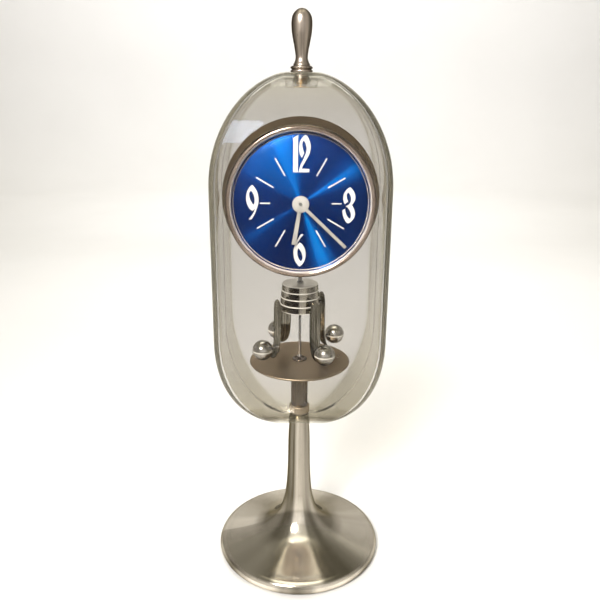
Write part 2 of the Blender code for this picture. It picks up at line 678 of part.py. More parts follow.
def pendulum_drum():
    """Four stacked tiers with a groove between each."""
    bore, groove = 1.2 * MM, 0.45 * MM
    tier = (DRUM_TOP - DRUM_BOTTOM) / DRUM_TIERS
    profile = [(bore, DRUM_TOP)]
    for i in range(DRUM_TIERS):
        top = DRUM_TOP - i * tier
        bottom = top - tier
        profile.append((tier_radius(top), top - groove * (i > 0)))
        profile.append((tier_radius(bottom), bottom + groove * (i < DRUM_TIERS - 1)))
        if i < DRUM_TIERS - 1:
            profile.append((tier_radius(bottom) - 1.5 * groove, bottom))
    profile.append((bore, DRUM_BOTTOM))
    smooth(turned("pendulum_drum", profile, NICKEL, True, 24))


def arm_angles():
    return [math.radians(ARM_ANGLE + 90 * i) for i in range(4)]


def pendulum_arms():
    """Four strips that hang round the drum and curl out beside the balls."""
    tab_low, tab_high = 190.8, 191.6
    joint = DRUM_BOTTOM_RADIUS / MM + 0.3
    outline = [(18.4, 198.6), (17.6, 198.0), (17.6, tab_high), (joint, tab_high), (joint, tab_low),
               (17.6, tab_low), (17.8, 172.0), (18.6, 165.0), (20.2, 160.2), (22.4, 157.4),
               (23.0, 158.0), (21.0, 160.6), (19.4, 165.2), (18.6, 172.0), (18.4, 190.0)]
    sheet = flat("arm", [[(r * MM, z * MM) for r, z in outline]], ARM_WIDTH, NICKEL, CUTTERS)
    place(sheet, (0, 0, 0), FACING_FRONT)
    stud = rod("ball_stud", 1.0 * MM, BALL_ORBIT - BALL_RADIUS - GAP, 18.9 * MM, NICKEL, 10, CUTTERS)
    place(stud, (0, 0, BALL_HEIGHT), (0, math.pi / 2, 0))
    combine(sheet, stud, "UNION")
    arm = baked(sheet, "pendulum_arm", NICKEL)
    bpy.data.objects.remove(sheet, do_unlink=True)
    repeat("pendulum_arm", arm, [((0, 0, 0), (0, 0, angle)) for angle in arm_angles()])


def pendulum_balls():
    bpy.ops.mesh.primitive_uv_sphere_add(segments=16, ring_count=10, radius=BALL_RADIUS)
    ball = bpy.context.active_object
    for home in list(ball.users_collection):
        home.objects.unlink(ball)
    PARTS.objects.link(ball)
    ball.data.materials.append(NICKEL)
    smooth(ball)
    spots = [(BALL_ORBIT * math.cos(a), BALL_ORBIT * math.sin(a), BALL_HEIGHT)
             for a in arm_angles()]
    repeat("pendulum_ball", ball, [(spot,) for spot in spots])


def pendulum_rod():
    """Hook, rod and guide tip in one turning."""
    hook = [(0, 216.9), (1.3, 216.9), (1.3, 209.0), (2.1, 208.6), (2.1, 207.9), (0.9, 207.9)]
    tip = [(0.9, 155.6), (1.5, 155.2), (1.5, 154.0), (0.6, 153.6), (0, 153.6)]
    profile = [(r * MM, z * MM) for r, z in hook + tip]
    smooth(turned("pendulum_rod", profile, STEEL, False, 14))


pedestal()
felt_pad()
tie_rod_and_nut()
post_and_platform()
case_shells()
clamp_and_finial()
dial_housing()
bezel_and_crystal()
dial_plate()
hands()
movement_plates()
movement_posts()
going_train()
spring_barrel()
motion_work()
escapement()
suspension()
pendulum_drum()
pendulum_arms()
pendulum_balls()
pendulum_rod()
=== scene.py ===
"""Looks of the mantel clock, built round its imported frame.

Lengths are in metres, and MM turns millimetres into them. Turned pieces are given as
(radius, height) points down their outer side. Dial pieces measure forward of the clock's
axis, which is towards -Y, and about the dial's centre.
"""
import math

import bmesh
import bpy
from mathutils import Matrix, Vector

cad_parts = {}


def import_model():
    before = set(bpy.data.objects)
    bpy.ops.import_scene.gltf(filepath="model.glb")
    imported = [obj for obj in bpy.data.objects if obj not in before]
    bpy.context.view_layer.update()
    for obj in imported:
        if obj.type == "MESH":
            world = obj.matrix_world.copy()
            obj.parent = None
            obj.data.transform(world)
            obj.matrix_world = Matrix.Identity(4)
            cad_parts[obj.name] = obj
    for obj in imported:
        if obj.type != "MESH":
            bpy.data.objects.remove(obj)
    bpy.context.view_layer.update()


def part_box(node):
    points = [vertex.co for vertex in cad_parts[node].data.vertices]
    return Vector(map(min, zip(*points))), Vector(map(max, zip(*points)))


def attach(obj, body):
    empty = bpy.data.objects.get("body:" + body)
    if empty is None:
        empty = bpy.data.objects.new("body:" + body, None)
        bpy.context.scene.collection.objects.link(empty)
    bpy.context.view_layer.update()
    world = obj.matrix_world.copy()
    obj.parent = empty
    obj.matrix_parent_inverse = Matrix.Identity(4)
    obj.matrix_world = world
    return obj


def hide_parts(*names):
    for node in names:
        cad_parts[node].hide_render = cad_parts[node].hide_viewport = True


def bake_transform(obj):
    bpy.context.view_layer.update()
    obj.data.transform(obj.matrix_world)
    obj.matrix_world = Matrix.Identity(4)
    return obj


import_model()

MM = 0.001
ROUND = 128

# Camera, fitted to the clock's round edges
CAMERA_BACK = 0.415
CAMERA_HEIGHT = 0.3233
CAMERA_PITCH = 17.2
CAMERA_ROLL = 0.4
CAMERA_LENS = 38.16


def middle(node):
    low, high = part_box(node)
    return (low + high) / 2


def lowest(node, axis="z"):
    """Where a node starts on an axis, in millimetres."""
    return getattr(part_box(node)[0], axis) / MM


def highest(node, axis="z"):
    return getattr(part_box(node)[1], axis) / MM


DIAL_HEIGHT = middle("dial_plate").z
DIAL_CENTRE = (0, 0, DIAL_HEIGHT)


# ---- shader helpers

class Paint:
    """A Principled material with small helpers for its node tree."""

    def __init__(self, name, colour, roughness, metallic=0, **sockets):
        self.material = bpy.data.materials.new(name)
        self.material.use_nodes = True
        self.tree = self.material.node_tree
        self.shader = self.tree.nodes["Principled BSDF"]
        values = {"Base Color": (*colour, 1), "Roughness": roughness, "Metallic": metallic}
        values.update({key.replace("_", " "): value for key, value in sockets.items()})
        for key, value in values.items():
            self.shader.inputs[key].default_value = value
        self.place = self.node("TexCoord").outputs["Object"]

    def node(self, kind, values=None, **settings):
        """A new shader node; its values are numbers or sockets to link."""
        node = self.tree.nodes.new("ShaderNode" + kind)
        for key, value in settings.items():
            setattr(node, key, value)
        for key, value in (values or {}).items():
            if isinstance(value, bpy.types.NodeSocket):
                self.tree.links.new(value, node.inputs[key])
            else:
                node.inputs[key].default_value = value
        return node

    def link(self, output, key):
        self.tree.links.new(output, self.shader.inputs[key])

    def math(self, operation, *values, clamp=False):
        values = dict(enumerate(values))
        return self.node("Math", values, operation=operation, use_clamp=clamp).outputs[0]

    def vector(self, operation, *values):
        node = self.node("VectorMath", dict(enumerate(values)), operation=operation)
        return node.outputs["Value" if operation == "LENGTH" else "Vector"]

    def weigh(self, first, share, second, rest):
        """The sum of two values, each times its share."""
        return self.math("ADD", self.math("MULTIPLY", first, share), self.math("MULTIPLY", second, rest))

    def noise(self, scale, detail=3, where=None, rough=0.5):
        values = {"Vector": where or self.place, "Scale": scale, "Detail": detail, "Roughness": rough}
        return self.node("TexNoise", values).outputs["Fac"]

    def grain(self, scale, detail=3, turn=(0, 0, 0)):
        """Noise squeezed unevenly into lines."""
        values = {"Vector": self.place, "Scale": scale, "Rotation": turn}
        return self.noise(1, detail, self.node("Mapping", values).outputs[0])

    def ramp(self, factor, stops, ease="LINEAR"):
        """A colour ramp from (place, colour or grey) stops."""
        node = self.node("ValToRGB", {"Fac": factor})
        band = node.color_ramp
        band.interpolation = ease
        while len(band.elements) < len(stops):
            band.elements.new(0.5)
        for element, (spot, value) in zip(band.elements, stops):
            element.position = spot
            grey = isinstance(value, (int, float))
            element.color = (value, value, value, 1) if grey else (*value, 1)
        return node.outputs["Color"]

    def range(self, factor, low, high, from_low=0, from_high=1):
        values = {"Value": factor, "From Min": from_low, "From Max": from_high, "To Min": low,
            "To Max": high}
        return self.node("MapRange", values).outputs[0]

    def mix(self, factor, first, second):
        node = self.node("Mix", data_type="RGBA")
        for key, value in (("Factor", factor), ("A", first), ("B", second)):
            socket = next(s for s in node.inputs if s.name == key and s.enabled)
            if isinstance(value, bpy.types.NodeSocket):
                self.tree.links.new(value, socket)
            else:
                socket.default_value = (*value, 1)
        return next(s for s in node.outputs if s.enabled)

    def bump(self, height, distance, strength, onto=None):
        values = {"Height": height, "Distance": distance, "Strength": strength}
        if onto:
            values["Normal"] = onto
        return self.node("Bump", values).outputs["Normal"]

    def split(self, where=None):
        return self.node("SeparateXYZ", {"Vector": where or self.place}).outputs

    def radius(self, about=(0, 0, 0), axis="Z"):
        """Distance from an axis through a point."""
        flat = {"Z": (1, 1, 0), "Y": (1, 0, 1)}[axis]
        return self.vector("LENGTH", self.vector("MULTIPLY", self.vector("SUBTRACT", self.place, about),
            flat))

    def angle(self, about=(0, 0, 0), axis="Z"):
        """Turn about an axis as a share of a whole turn, 0 to 1."""
        parts = self.split(self.vector("SUBTRACT", self.place, about))
        turn = self.math("ARCTAN2", parts[{"Z": 1, "Y": 2}[axis]], parts[0])
        return self.math("ADD", self.math("DIVIDE", turn, math.tau), 0.5)

    def spin(self, axis):
        """Let the shine run round an axis, as on spun metal."""
        self.link(self.node("Tangent", direction_type="RADIAL", axis=axis).outputs[0], "Tangent")

    def grind(self, tone, cloud, rough, lines, depth, strength):
        """Link a metal's tone, its cloudy roughness and its fine lines."""
        self.link(tone, "Base Color")
        self.link(self.range(cloud, *rough, 0.3, 0.7), "Roughness")
        self.link(self.bump(lines, depth, strength), "Normal")
        return self.material


def smudged(paint, low, high, scale=45):
    """Roughness that wanders as on handled metal, with a few soft wipes."""
    cloud = paint.noise(scale, 4)
    wipes = paint.grain((260, 60, 30), 2, (0.4, 0.2, 0.9))
    paint.link(paint.range(paint.weigh(cloud, 0.7, wipes, 0.3), low, high, 0.32, 0.68), "Roughness")
    return cloud


def heading(paint, spread, rise):
    """Coordinates that change round the clock's axis and slowly with height."""
    unit = paint.vector("NORMALIZE", paint.vector("MULTIPLY", paint.place, (1, 1, 0)))
    lifted = paint.vector("MULTIPLY", paint.place, (0, 0, rise))
    return paint.vector("ADD", paint.vector("MULTIPLY", unit, (spread, spread, 0)), lifted)


def worn_nickel_painted_shine(name, dark, light, rough, turn, zones=(), share=0.5, rims=(), metal=1,
        edge=(0.35, 0.33, 0.27)):
    """Old nickel plate: painted reflections as light and dark bands round its axis, polishing streaks,
    lathe marks, specks and painted highlight lines at given rims.

    A zone is (start, full, bands): above its start its bands of painted reflection take over from those
    below.
    """
    paint = Paint(name, light, 0.15, metal, Specular_Tint=(*edge, 1))
    cloud = smudged(paint, *rough)
    height = paint.split()[2]
    drawn = paint.range(paint.noise(1, 4, heading(paint, *turn)), 0, 1, 0.33, 0.67)
    # Painted reflections: light and dark bands by turn round the axis, fixed to the piece and blended
    # into the random streaks
    if zones:
        shine, *others = [paint.ramp(paint.angle(), bands, "EASE") for start, full, bands in zones]
        for (start, full, bands), shade in zip(zones[1:], others):
            shine = paint.mix(paint.range(height, 0, 1, start, full), shine, shade)
        drawn = paint.weigh(shine, share, drawn, 1 - share)
    between = tuple(a * 0.6 + b * 0.4 for a, b in zip(dark, light))
    tone = paint.ramp(paint.weigh(drawn, 0.86, paint.noise(16, 4), 0.14), [(0.12, dark), (0.5, between),
        (0.85, light)])
    specks = paint.ramp(paint.noise(900, 1), [(0.7, 0), (0.76, 1)])
    tarnish = tuple(value * 0.6 for value in dark)
    tone = paint.mix(paint.math("MULTIPLY", specks, 0.4), tone, tarnish)
    # Painted highlights: pale, less metallic lines at the given rim heights
    if rims:
        nearest, *gaps = [paint.math("ABSOLUTE", paint.math("SUBTRACT", height, rim)) for rim in rims]
        for gap in gaps:
            nearest = paint.math("MINIMUM", nearest, gap)
        glint = paint.range(nearest, 1, 0, 0.00025, 0.0005)
        tone = paint.mix(glint, tone, (0.9, 0.88, 0.84))
        paint.link(paint.range(glint, 1, 0.25), "Metallic")
    paint.link(tone, "Base Color")
    waves = paint.bump(cloud, 0.0002, 0.25)
    paint.link(paint.bump(paint.grain((40, 40, 5200), 2), 0.000006, 0.6, waves), "Normal")
    return paint.material


# Painted reflections on the plating: brightness at shares of a turn, from the left side through the front
FOOT_PAINTED_REFLECTIONS = [(0, 0.5), (0.06, 0.45), (0.11, 0.42), (0.16, 0.32), (0.19, 0.2), (0.205, 0.95), (0.25, 1),
    (0.292, 0.95), (0.308, 0.1), (0.34, 0), (0.38, 0.15), (0.43, 0.75), (0.48, 0.7), (0.55, 0.6),
    (0.64, 0.4), (0.75, 0.9), (0.88, 0.4), (1, 0.7)]
RIM_PAINTED_REFLECTIONS = [(0, 0.2), (0.05, 0.55), (0.1, 0.1), (0.135, 0.5), (0.165, 1), (0.2, 1), (0.225, 0.5),
    (0.25, 0.1), (0.27, 0.3), (0.29, 0.9), (0.33, 1), (0.37, 0.7), (0.4, 0.2), (0.46, 0.7), (0.52, 0.3),
    (0.75, 0.7), (0.9, 0.4), (1, 0.2)]
STEM_PAINTED_REFLECTIONS = [(0, 0), (0.12, 0), (0.175, 0), (0.2, 0.45), (0.22, 0.62), (0.27, 0.5), (0.32, 0.36),
    (0.36, 0.24), (0.41, 0.28), (0.46, 0.15), (0.53, 0.2), (0.66, 0.6), (0.75, 0.8), (0.84, 0.6),
    (0.95, 0.1), (1, 0)]
FLARE_PAINTED_REFLECTIONS = [(0, 0.1), (0.09, 0.3), (0.14, 0.05), (0.185, 0.3), (0.21, 1), (0.25, 1), (0.29, 0.95),
    (0.315, 0.3), (0.36, 0.1), (0.41, 0.5), (0.46, 0.2), (0.53, 0.2), (0.66, 0.6), (0.75, 0.8),
    (0.84, 0.6), (0.95, 0.1), (1, 0.1)]
GRIP_PAINTED_REFLECTIONS = [(0, 0), (0.07, 0.05), (0.12, 0.45), (0.19, 0.85), (0.235, 0.45), (0.28, 0.7), (0.34, 0.8),
    (0.385, 0.35), (0.43, 0.05), (0.5, 0), (0.6, 0.5), (0.75, 0.8), (0.9, 0.5), (1, 0)]
DRUM_PAINTED_REFLECTIONS = [(0, 0.3), (0.07, 0.5), (0.13, 0.85), (0.17, 0.15), (0.2, 0), (0.235, 0.05), (0.25, 0.8),
    (0.29, 1), (0.33, 0.55), (0.37, 0.3), (0.42, 0.75), (0.5, 0.2), (0.58, 0.7), (0.66, 0), (0.74, 0.9),
    (0.82, 0.4), (0.9, 0.05), (1, 0.3)]
BALL_PAINTED_REFLECTIONS = [(0, 0.1), (0.2, 0.45), (0.4, 0.05), (0.7, 0.3), (1, 0.1)]


def satin_nickel():
    """Nickel with a fine circular grain left by the lathe."""
    paint = Paint("satin_platform", (0.25, 0.21, 0.165), 0.36, 1, Anisotropic=0.35,
        Specular_Tint=(0.5, 0.47, 0.42, 1))
    grooves = paint.noise(2600, 3, paint.node("CombineXYZ", {0: paint.radius()}).outputs[0])
    cloud = paint.noise(30, 4)
    tone = paint.ramp(paint.weigh(grooves, 0.45, cloud, 0.55), [(0.3, (0.35, 0.275, 0.195)),
        (0.5, (0.47, 0.38, 0.28)), (0.72, (0.6, 0.5, 0.385))])
    paint.spin("Z")
    return paint.grind(tone, cloud, (0.27, 0.46), grooves, 0.00003, 0.35)


def post_nickel():
    """Satin nickel drawn lengthwise."""
    paint = Paint("satin_post", (0.28, 0.24, 0.2), 0.33, 1, Specular_Tint=(0.3, 0.28, 0.25, 1))
    lines = paint.grain((2400, 2400, 26))
    tone = paint.ramp(lines, [(0.3, (0.13, 0.1, 0.07)), (0.7, (0.23, 0.185, 0.135))])
    return paint.grind(tone, paint.noise(60), (0.25, 0.42), lines, 0.00002, 0.3)


def spun_housing():
    """Champagne-coloured housing with close concentric lines, darker towards its foot."""
    paint = Paint("spun_housing", (0.24, 0.19, 0.135), 0.33, 1, Anisotropic=0.45,
        Specular_Tint=(0.6, 0.55, 0.48, 1))
    along = paint.node("CombineXYZ", {0: paint.radius(DIAL_CENTRE, "Y"), 1: paint.split()[1]}).outputs[0]
    lines, cloud = paint.noise(3000, 3, along), paint.noise(25, 4)
    tone = paint.ramp(paint.weigh(lines, 0.5, cloud, 0.5), [(0.3, (0.22, 0.165, 0.1)),
        (0.5, (0.3, 0.225, 0.145)), (0.72, (0.39, 0.3, 0.2))])
    low = paint.range(paint.split()[2], 0.55, 0, DIAL_HEIGHT - 0.04, DIAL_HEIGHT + 0.005)
    paint.spin("Y")
    return paint.grind(paint.mix(low, tone, (0.05, 0.04, 0.028)), cloud, (0.25, 0.42), lines, 0.00002,
        0.4)


def bead_metal():
    """Polished bezel bead with a rosy tint, painted shade on its outer side and a painted highlight ring
    on its inner lip.
    """
    paint = Paint("bead_metal", (0.66, 0.53, 0.45), 0.12, 1)
    smudged(paint, 0.07, 0.2, 120)
    tone = paint.ramp(paint.noise(60), [(0.35, (0.6, 0.47, 0.4)), (0.65, (0.8, 0.67, 0.6))])
    distance = paint.radius(DIAL_CENTRE, "Y")
    # Painted highlight: a pale, less metallic ring on the inner lip; painted shade: a dark ring on the
    # outer side
    painted_lip_highlight = paint.range(distance, 1, 0, 0.0426, 0.0436)
    painted_flank_shade = paint.range(distance, 0, 0.85, 0.0446, 0.0455)
    tone = paint.mix(painted_flank_shade, tone, (0.13, 0.1, 0.07))
    paint.link(paint.mix(painted_lip_highlight, tone, (0.8, 0.74, 0.72)), "Base Color")
    paint.link(paint.range(painted_lip_highlight, 1, 0.25), "Metallic")
    return paint.material


def movement_metal(name, dark, light, roughness):
    """Brass or steel of the movement, brushed one way and a little uneven."""
    paint = Paint(name, light, roughness, 1)
    lines, cloud = paint.grain((60, 60, 3000)), paint.noise(55, 4)
    tone = paint.ramp(paint.weigh(lines, 0.4, cloud, 0.6), [(0.32, dark), (0.62, light)])
    return paint.grind(tone, cloud, (roughness * 0.75, roughness * 1.35), lines, 0.00002, 0.35)


def through_for_lamps(paint, tint):
    """Let light from the lamps pass, so that what is behind the clear part is lit."""
    shadow = paint.node("LightPath").outputs["Is Shadow Ray"]
    clear = paint.node("BsdfTransparent", {"Color": (*tint, 1)}).outputs[0]
    both = paint.node("MixShader", {0: shadow, 1: paint.shader.outputs[0], 2: clear})
    paint.tree.links.new(both.outputs[0], paint.tree.nodes["Material Output"].inputs["Surface"])
    return paint.material


def clear_acrylic():
    """Moulded acrylic: clear face on, straw-coloured and hazy where it is seen on the slant."""
    paint = Paint("clear_acrylic", (0.93, 0.925, 0.905), 0.02, IOR=1.49, Transmission_Weight=1,
        Specular_Tint=(0.09, 0.11, 0.15, 1))
    slant = paint.node("LayerWeight", {"Blend": 0.5}).outputs["Facing"]
    paint.link(paint.ramp(slant, [(0, (0.72, 0.71, 0.7)), (0.3, (0.66, 0.64, 0.585)),
        (0.6, (0.5, 0.47, 0.375)), (0.85, (0.58, 0.55, 0.44)), (1, (0.72, 0.69, 0.59))]), "Base Color")
    paint.link(paint.ramp(slant, [(0, 1), (0.5, 0.97), (0.75, 0.8), (0.92, 0.55), (1, 0.45)]),
        "Transmission Weight")
    scratches = paint.grain((70, 2600, 900), 2, (0.1, 0.5, 0.3))
    paint.link(paint.range(scratches, 0.012, 0.05, 0.62, 0.74), "Roughness")
    paint.link(paint.bump(paint.noise(14, 2), 0.0006, 0.35), "Normal")
    return through_for_lamps(paint, (0.9, 0.89, 0.86))


def crystal_glass():
    """Thin domed crystal over the dial, with a faint haze."""
    paint = Paint("crystal_glass", (0.985, 0.99, 0.99), 0.01, IOR=1.22, Transmission_Weight=1,
        Specular_Tint=(0.25, 0.4, 0.6, 1))
    paint.link(paint.range(paint.noise(140), 0.004, 0.022, 0.35, 0.7), "Roughness")
    return through_for_lamps(paint, (0.97, 0.975, 0.975))


def dial_lacquer():
    """Blue lacquer on a disc brushed from its centre outwards; its brushing shines in the light, and
    bright fans are painted into its colour by turn round the centre.
    """
    paint = Paint("dial_lacquer", (0, 0.05, 0.35), 0.3, 0.5, Anisotropic=0.55, Specular_IOR_Level=0.2)
    turn = paint.angle(DIAL_CENTRE, "Y")
    distance = paint.radius(DIAL_CENTRE, "Y")
    across = {0: paint.math("MULTIPLY", turn, 330), 1: paint.math("MULTIPLY", distance, 30)}
    streaks = paint.noise(1, 4, paint.node("CombineXYZ", across).outputs[0], 0.65)
    uneven = paint.math("MULTIPLY", paint.math("SUBTRACT", streaks, 0.5), 0.35)
    # Painted highlight fans in the lacquer's colour, by turn round the dial's centre
    light = paint.math("ADD", paint.ramp(turn, PAINTED_FAN_STOPS, "EASE"), uneven, clamp=True)
    tone = paint.ramp(light, [(0, (0, 0.005, 0.055)), (0.3, (0, 0.03, 0.19)), (0.6, (0, 0.14, 0.6)),
        (1, (0, 0.27, 0.95))])
    edge = paint.range(distance, 0, 0.55, 0.036, 0.044)
    paint.link(paint.mix(edge, tone, (0, 0.01, 0.08)), "Base Color")
    paint.link(paint.bump(streaks, 0.00002, 0.3), "Normal")
    paint.spin("Y")
    return paint.material


# Painted highlight fans: brightness painted into the dial's colour at shares of a turn, from nine o'clock
# through six
PAINTED_FAN_STOPS = [(0, 0.12), (0.06, 0.14), (0.095, 0.4), (0.12, 0.22), (0.2, 0.08), (0.265, 0.14),
    (0.288, 0.42), (0.303, 0.88), (0.316, 1), (0.33, 0.5), (0.36, 0.22), (0.44, 0.14), (0.545, 0.18),
    (0.575, 0.42), (0.592, 0.66), (0.61, 0.34), (0.65, 0.16), (0.73, 0.22), (0.765, 0.4), (0.79, 0.6),
    (0.81, 0.7), (0.83, 0.46), (0.86, 0.4), (0.91, 0.36), (0.95, 0.18), (1, 0.12)]


def mottled(name, colour, roughness, noise, dark, light):
    """Plain paint or paper, a little uneven."""
    paint = Paint(name, colour, roughness)
    paint.link(paint.ramp(paint.noise(*noise), [(0.3, dark), (0.7, light)]), "Base Color")
    return paint


def hand_paint():
    """White enamel with a breath of pink, a little rough."""
    paint = mottled("hand_paint", (0.72, 0.68, 0.65), 0.42, (240,), (0.42, 0.405, 0.395),
        (0.51, 0.495, 0.485))
    paint.link(paint.bump(paint.noise(1500, 2), 0.00002, 0.3), "Normal")
    return paint.material


def green_felt():
    """Napped felt under the base."""
    paint = Paint("green_felt", (0.03, 0.07, 0.05), 0.95, Sheen_Weight=0.5, Sheen_Roughness=0.5)
    fibre = paint.noise(1600, 4, None, 0.7)
    paint.link(paint.ramp(paint.weigh(fibre, 0.7, paint.noise(90), 0.3), [(0.3, (0.012, 0.035, 0.024)),
        (0.7, (0.05, 0.11, 0.08))]), "Base Color")
    paint.link(paint.bump(fibre, 0.0002, 0.8), "Normal")
    return paint.material


DRUM_TALL = 18.5
DRUM_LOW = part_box("pendulum_drum")[0][2]
# Heights of the drum's tier edges, where its painted highlight lines go
DRUM_RIMS = [DRUM_LOW + DRUM_TALL * MM * share for share in (0.006, 0.25, 0.5, 0.75, 0.985)]
BALL_MIDDLE = middle("pendulum_ball_1").z

# Painted reflections by turn and height in the pedestal's, drum's and finial's colours; the drum's tier
# edges carry painted highlight lines
PEDESTAL = worn_nickel_painted_shine("pedestal_nickel", (0.11, 0.095, 0.065), (0.96, 0.89, 0.78), (0.1, 0.22), (2.2, 9),
    [(0, 0, RIM_PAINTED_REFLECTIONS), (0.0072, 0.0086, FOOT_PAINTED_REFLECTIONS), (0.0145, 0.0185, FLARE_PAINTED_REFLECTIONS),
    (0.024, 0.046, STEM_PAINTED_REFLECTIONS)], 0.8, metal=0.91)
DRUM = worn_nickel_painted_shine("drum_nickel", (0.06, 0.05, 0.04), (0.97, 0.93, 0.86), (0.06, 0.15), (9, 4),
    [(0, 0, DRUM_PAINTED_REFLECTIONS)], 0.92, DRUM_RIMS)
NICKEL = worn_nickel_painted_shine("petal_nickel", (0.16, 0.15, 0.12), (0.72, 0.68, 0.59), (0.08, 0.2), (30, 30))
# Painted light on the balls: the upper half a steady bright band, the lower half painted reflection
# bands, and a painted highlight line at the seam
BALL = worn_nickel_painted_shine("ball_nickel", (0.14, 0.125, 0.105), (0.98, 0.96, 0.92), (0.1, 0.2), (12, 120),
    [(0, 0, BALL_PAINTED_REFLECTIONS), (BALL_MIDDLE - 3.4 * MM, BALL_MIDDLE - 0.9 * MM, [(0, 0.85), (1, 0.85)])], 0.7,
    [BALL_MIDDLE], 0.9, (0.6, 0.56, 0.5))
GRIP = worn_nickel_painted_shine("finial_nickel", (0.07, 0.055, 0.045), (0.66, 0.57, 0.49), (0.26, 0.38), (3, 30),
    [(0, 0, GRIP_PAINTED_REFLECTIONS)], 0.75)
PLATFORM = satin_nickel()
POST = post_nickel()
HOUSING = spun_housing()
BEAD = bead_metal()
BRASS = movement_metal("lacquered_brass", (0.44, 0.28, 0.09), (0.78, 0.56, 0.24), 0.24)
STEEL = movement_metal("ground_steel", (0.3, 0.3, 0.31), (0.58, 0.58, 0.6), 0.26)
ACRYLIC = clear_acrylic()
CRYSTAL = crystal_glass()
LACQUER = dial_lacquer()
HAND = hand_paint()
NUMERAL = mottled("numeral_paint", (0.76, 0.77, 0.8), 0.5, (500, 2), (0.7, 0.71, 0.75),
    (0.8, 0.81, 0.84)).material
FELT = green_felt()


# ---- mesh helpers

AXIS_UP = Matrix.Identity(4)


def dial_axis(x=0, z=0):
    """Local Z runs forward, through a point on the dial's plane given in millimetres."""
    where = Matrix.Translation((x * MM, 0, DIAL_HEIGHT + z * MM))
    return where @ Matrix.Rotation(math.pi / 2, 4, "X")


def curve_through(points, steps=6):
    """A smooth line through points (Catmull-Rom)."""
    spots = [Vector(p) for p in points]
    spots = [spots[0] * 2 - spots[1], *spots, spots[-1] * 2 - spots[-2]]
    line = []
    for a, b, c, d in zip(spots, spots[1:], spots[2:], spots[3:]):
        for step in range(steps):
            t = step / steps
            line.append(0.5 * (2 * b + (c - a) * t + (2 * a - 5 * b + 4 * c - d) * t * t
                + (3 * b - 3 * c + d - a) * t ** 3))
    line.append(spots[-2])
    return [tuple(p) for p in line]


def arc(centre, radius, start, stop, steps):
    """Points of a circle's arc, with angles in degrees."""
    turn = [math.radians(start + (stop - start) * i / steps) for i in range(steps + 1)]
    return [(centre[0] + radius * math.cos(a), centre[1] + radius * math.sin(a)) for a in turn]


def rounded(x, y, radius, steps):
    """A rectangle's outline with round corners about (x, y) from its middle."""
    outline = []
    for corner, (sx, sy) in enumerate(((1, 1), (-1, 1), (-1, -1), (1, -1))):
        outline += arc((sx * x, sy * y), radius, 90 * corner, 90 * corner + 90, steps)
    return outline


def ring_points(radius, count, at=(0, 0)):
    turns = [math.tau * i / count for i in range(count)]
    return [(at[0] + radius * math.cos(a), at[1] + radius * math.sin(a)) for a in turns]


def linked(name, mesh, sharp=40):
    """Link a mesh as an object, shade it smooth and keep its edges crisp."""
    mesh.shade_smooth()
    mesh.set_sharp_from_angle(angle=math.radians(sharp))
    obj = bpy.data.objects.new(name, mesh)
    bpy.context.scene.collection.objects.link(obj)
    return obj


def finished(name, mesh, material, sharp=40):
    mesh.materials.clear()
    mesh.materials.append(material)
    return linked(name, mesh, sharp)


def from_bmesh(name, work, material, matrix=AXIS_UP, sharp=40):
    work.transform(matrix)
    bmesh.ops.recalc_face_normals(work, faces=work.faces)
    mesh = bpy.data.meshes.new(name)
    work.to_mesh(mesh)
    work.free()
    return finished(name, mesh, material, sharp)


def turn_into(work, profile, matrix, steps):
    """Add a turned form; points are (radius, height) in millimetres.

    A profile that keeps off the axis at both ends closes into a ring.
    """
    rows = []
    for radius, height in profile:
        spots = [Vector((radius * MM * math.cos(math.tau * i / steps), radius * MM
            * math.sin(math.tau * i / steps), height * MM)) for i in (range(steps) if radius else [0])]
        rows.append([work.verts.new(matrix @ spot) for spot in spots])
    pairs = list(zip(rows, rows[1:]))
    if profile[0][0] and profile[-1][0]:
        pairs.append((rows[-1], rows[0]))
    for upper, lower in pairs:
        for i in range(steps):
            j = (i + 1) % steps
            corners = [upper[i % len(upper)], lower[i % len(lower)], lower[j % len(lower)],
                upper[j % len(upper)]]
            unique = list(dict.fromkeys(corners))
            if len(unique) > 2:
                work.faces.new(unique)


def lathe(name, profile, material, matrix=AXIS_UP, steps=ROUND, sharp=40):
    work = bmesh.new()
    turn_into(work, profile, matrix, steps)
    return from_bmesh(name, work, material, sharp=sharp)


def evaluated_mesh(obj):
    bpy.context.view_layer.update()
    depsgraph = bpy.context.evaluated_depsgraph_get()
    return bpy.data.meshes.new_from_object(obj.evaluated_get(depsgraph))


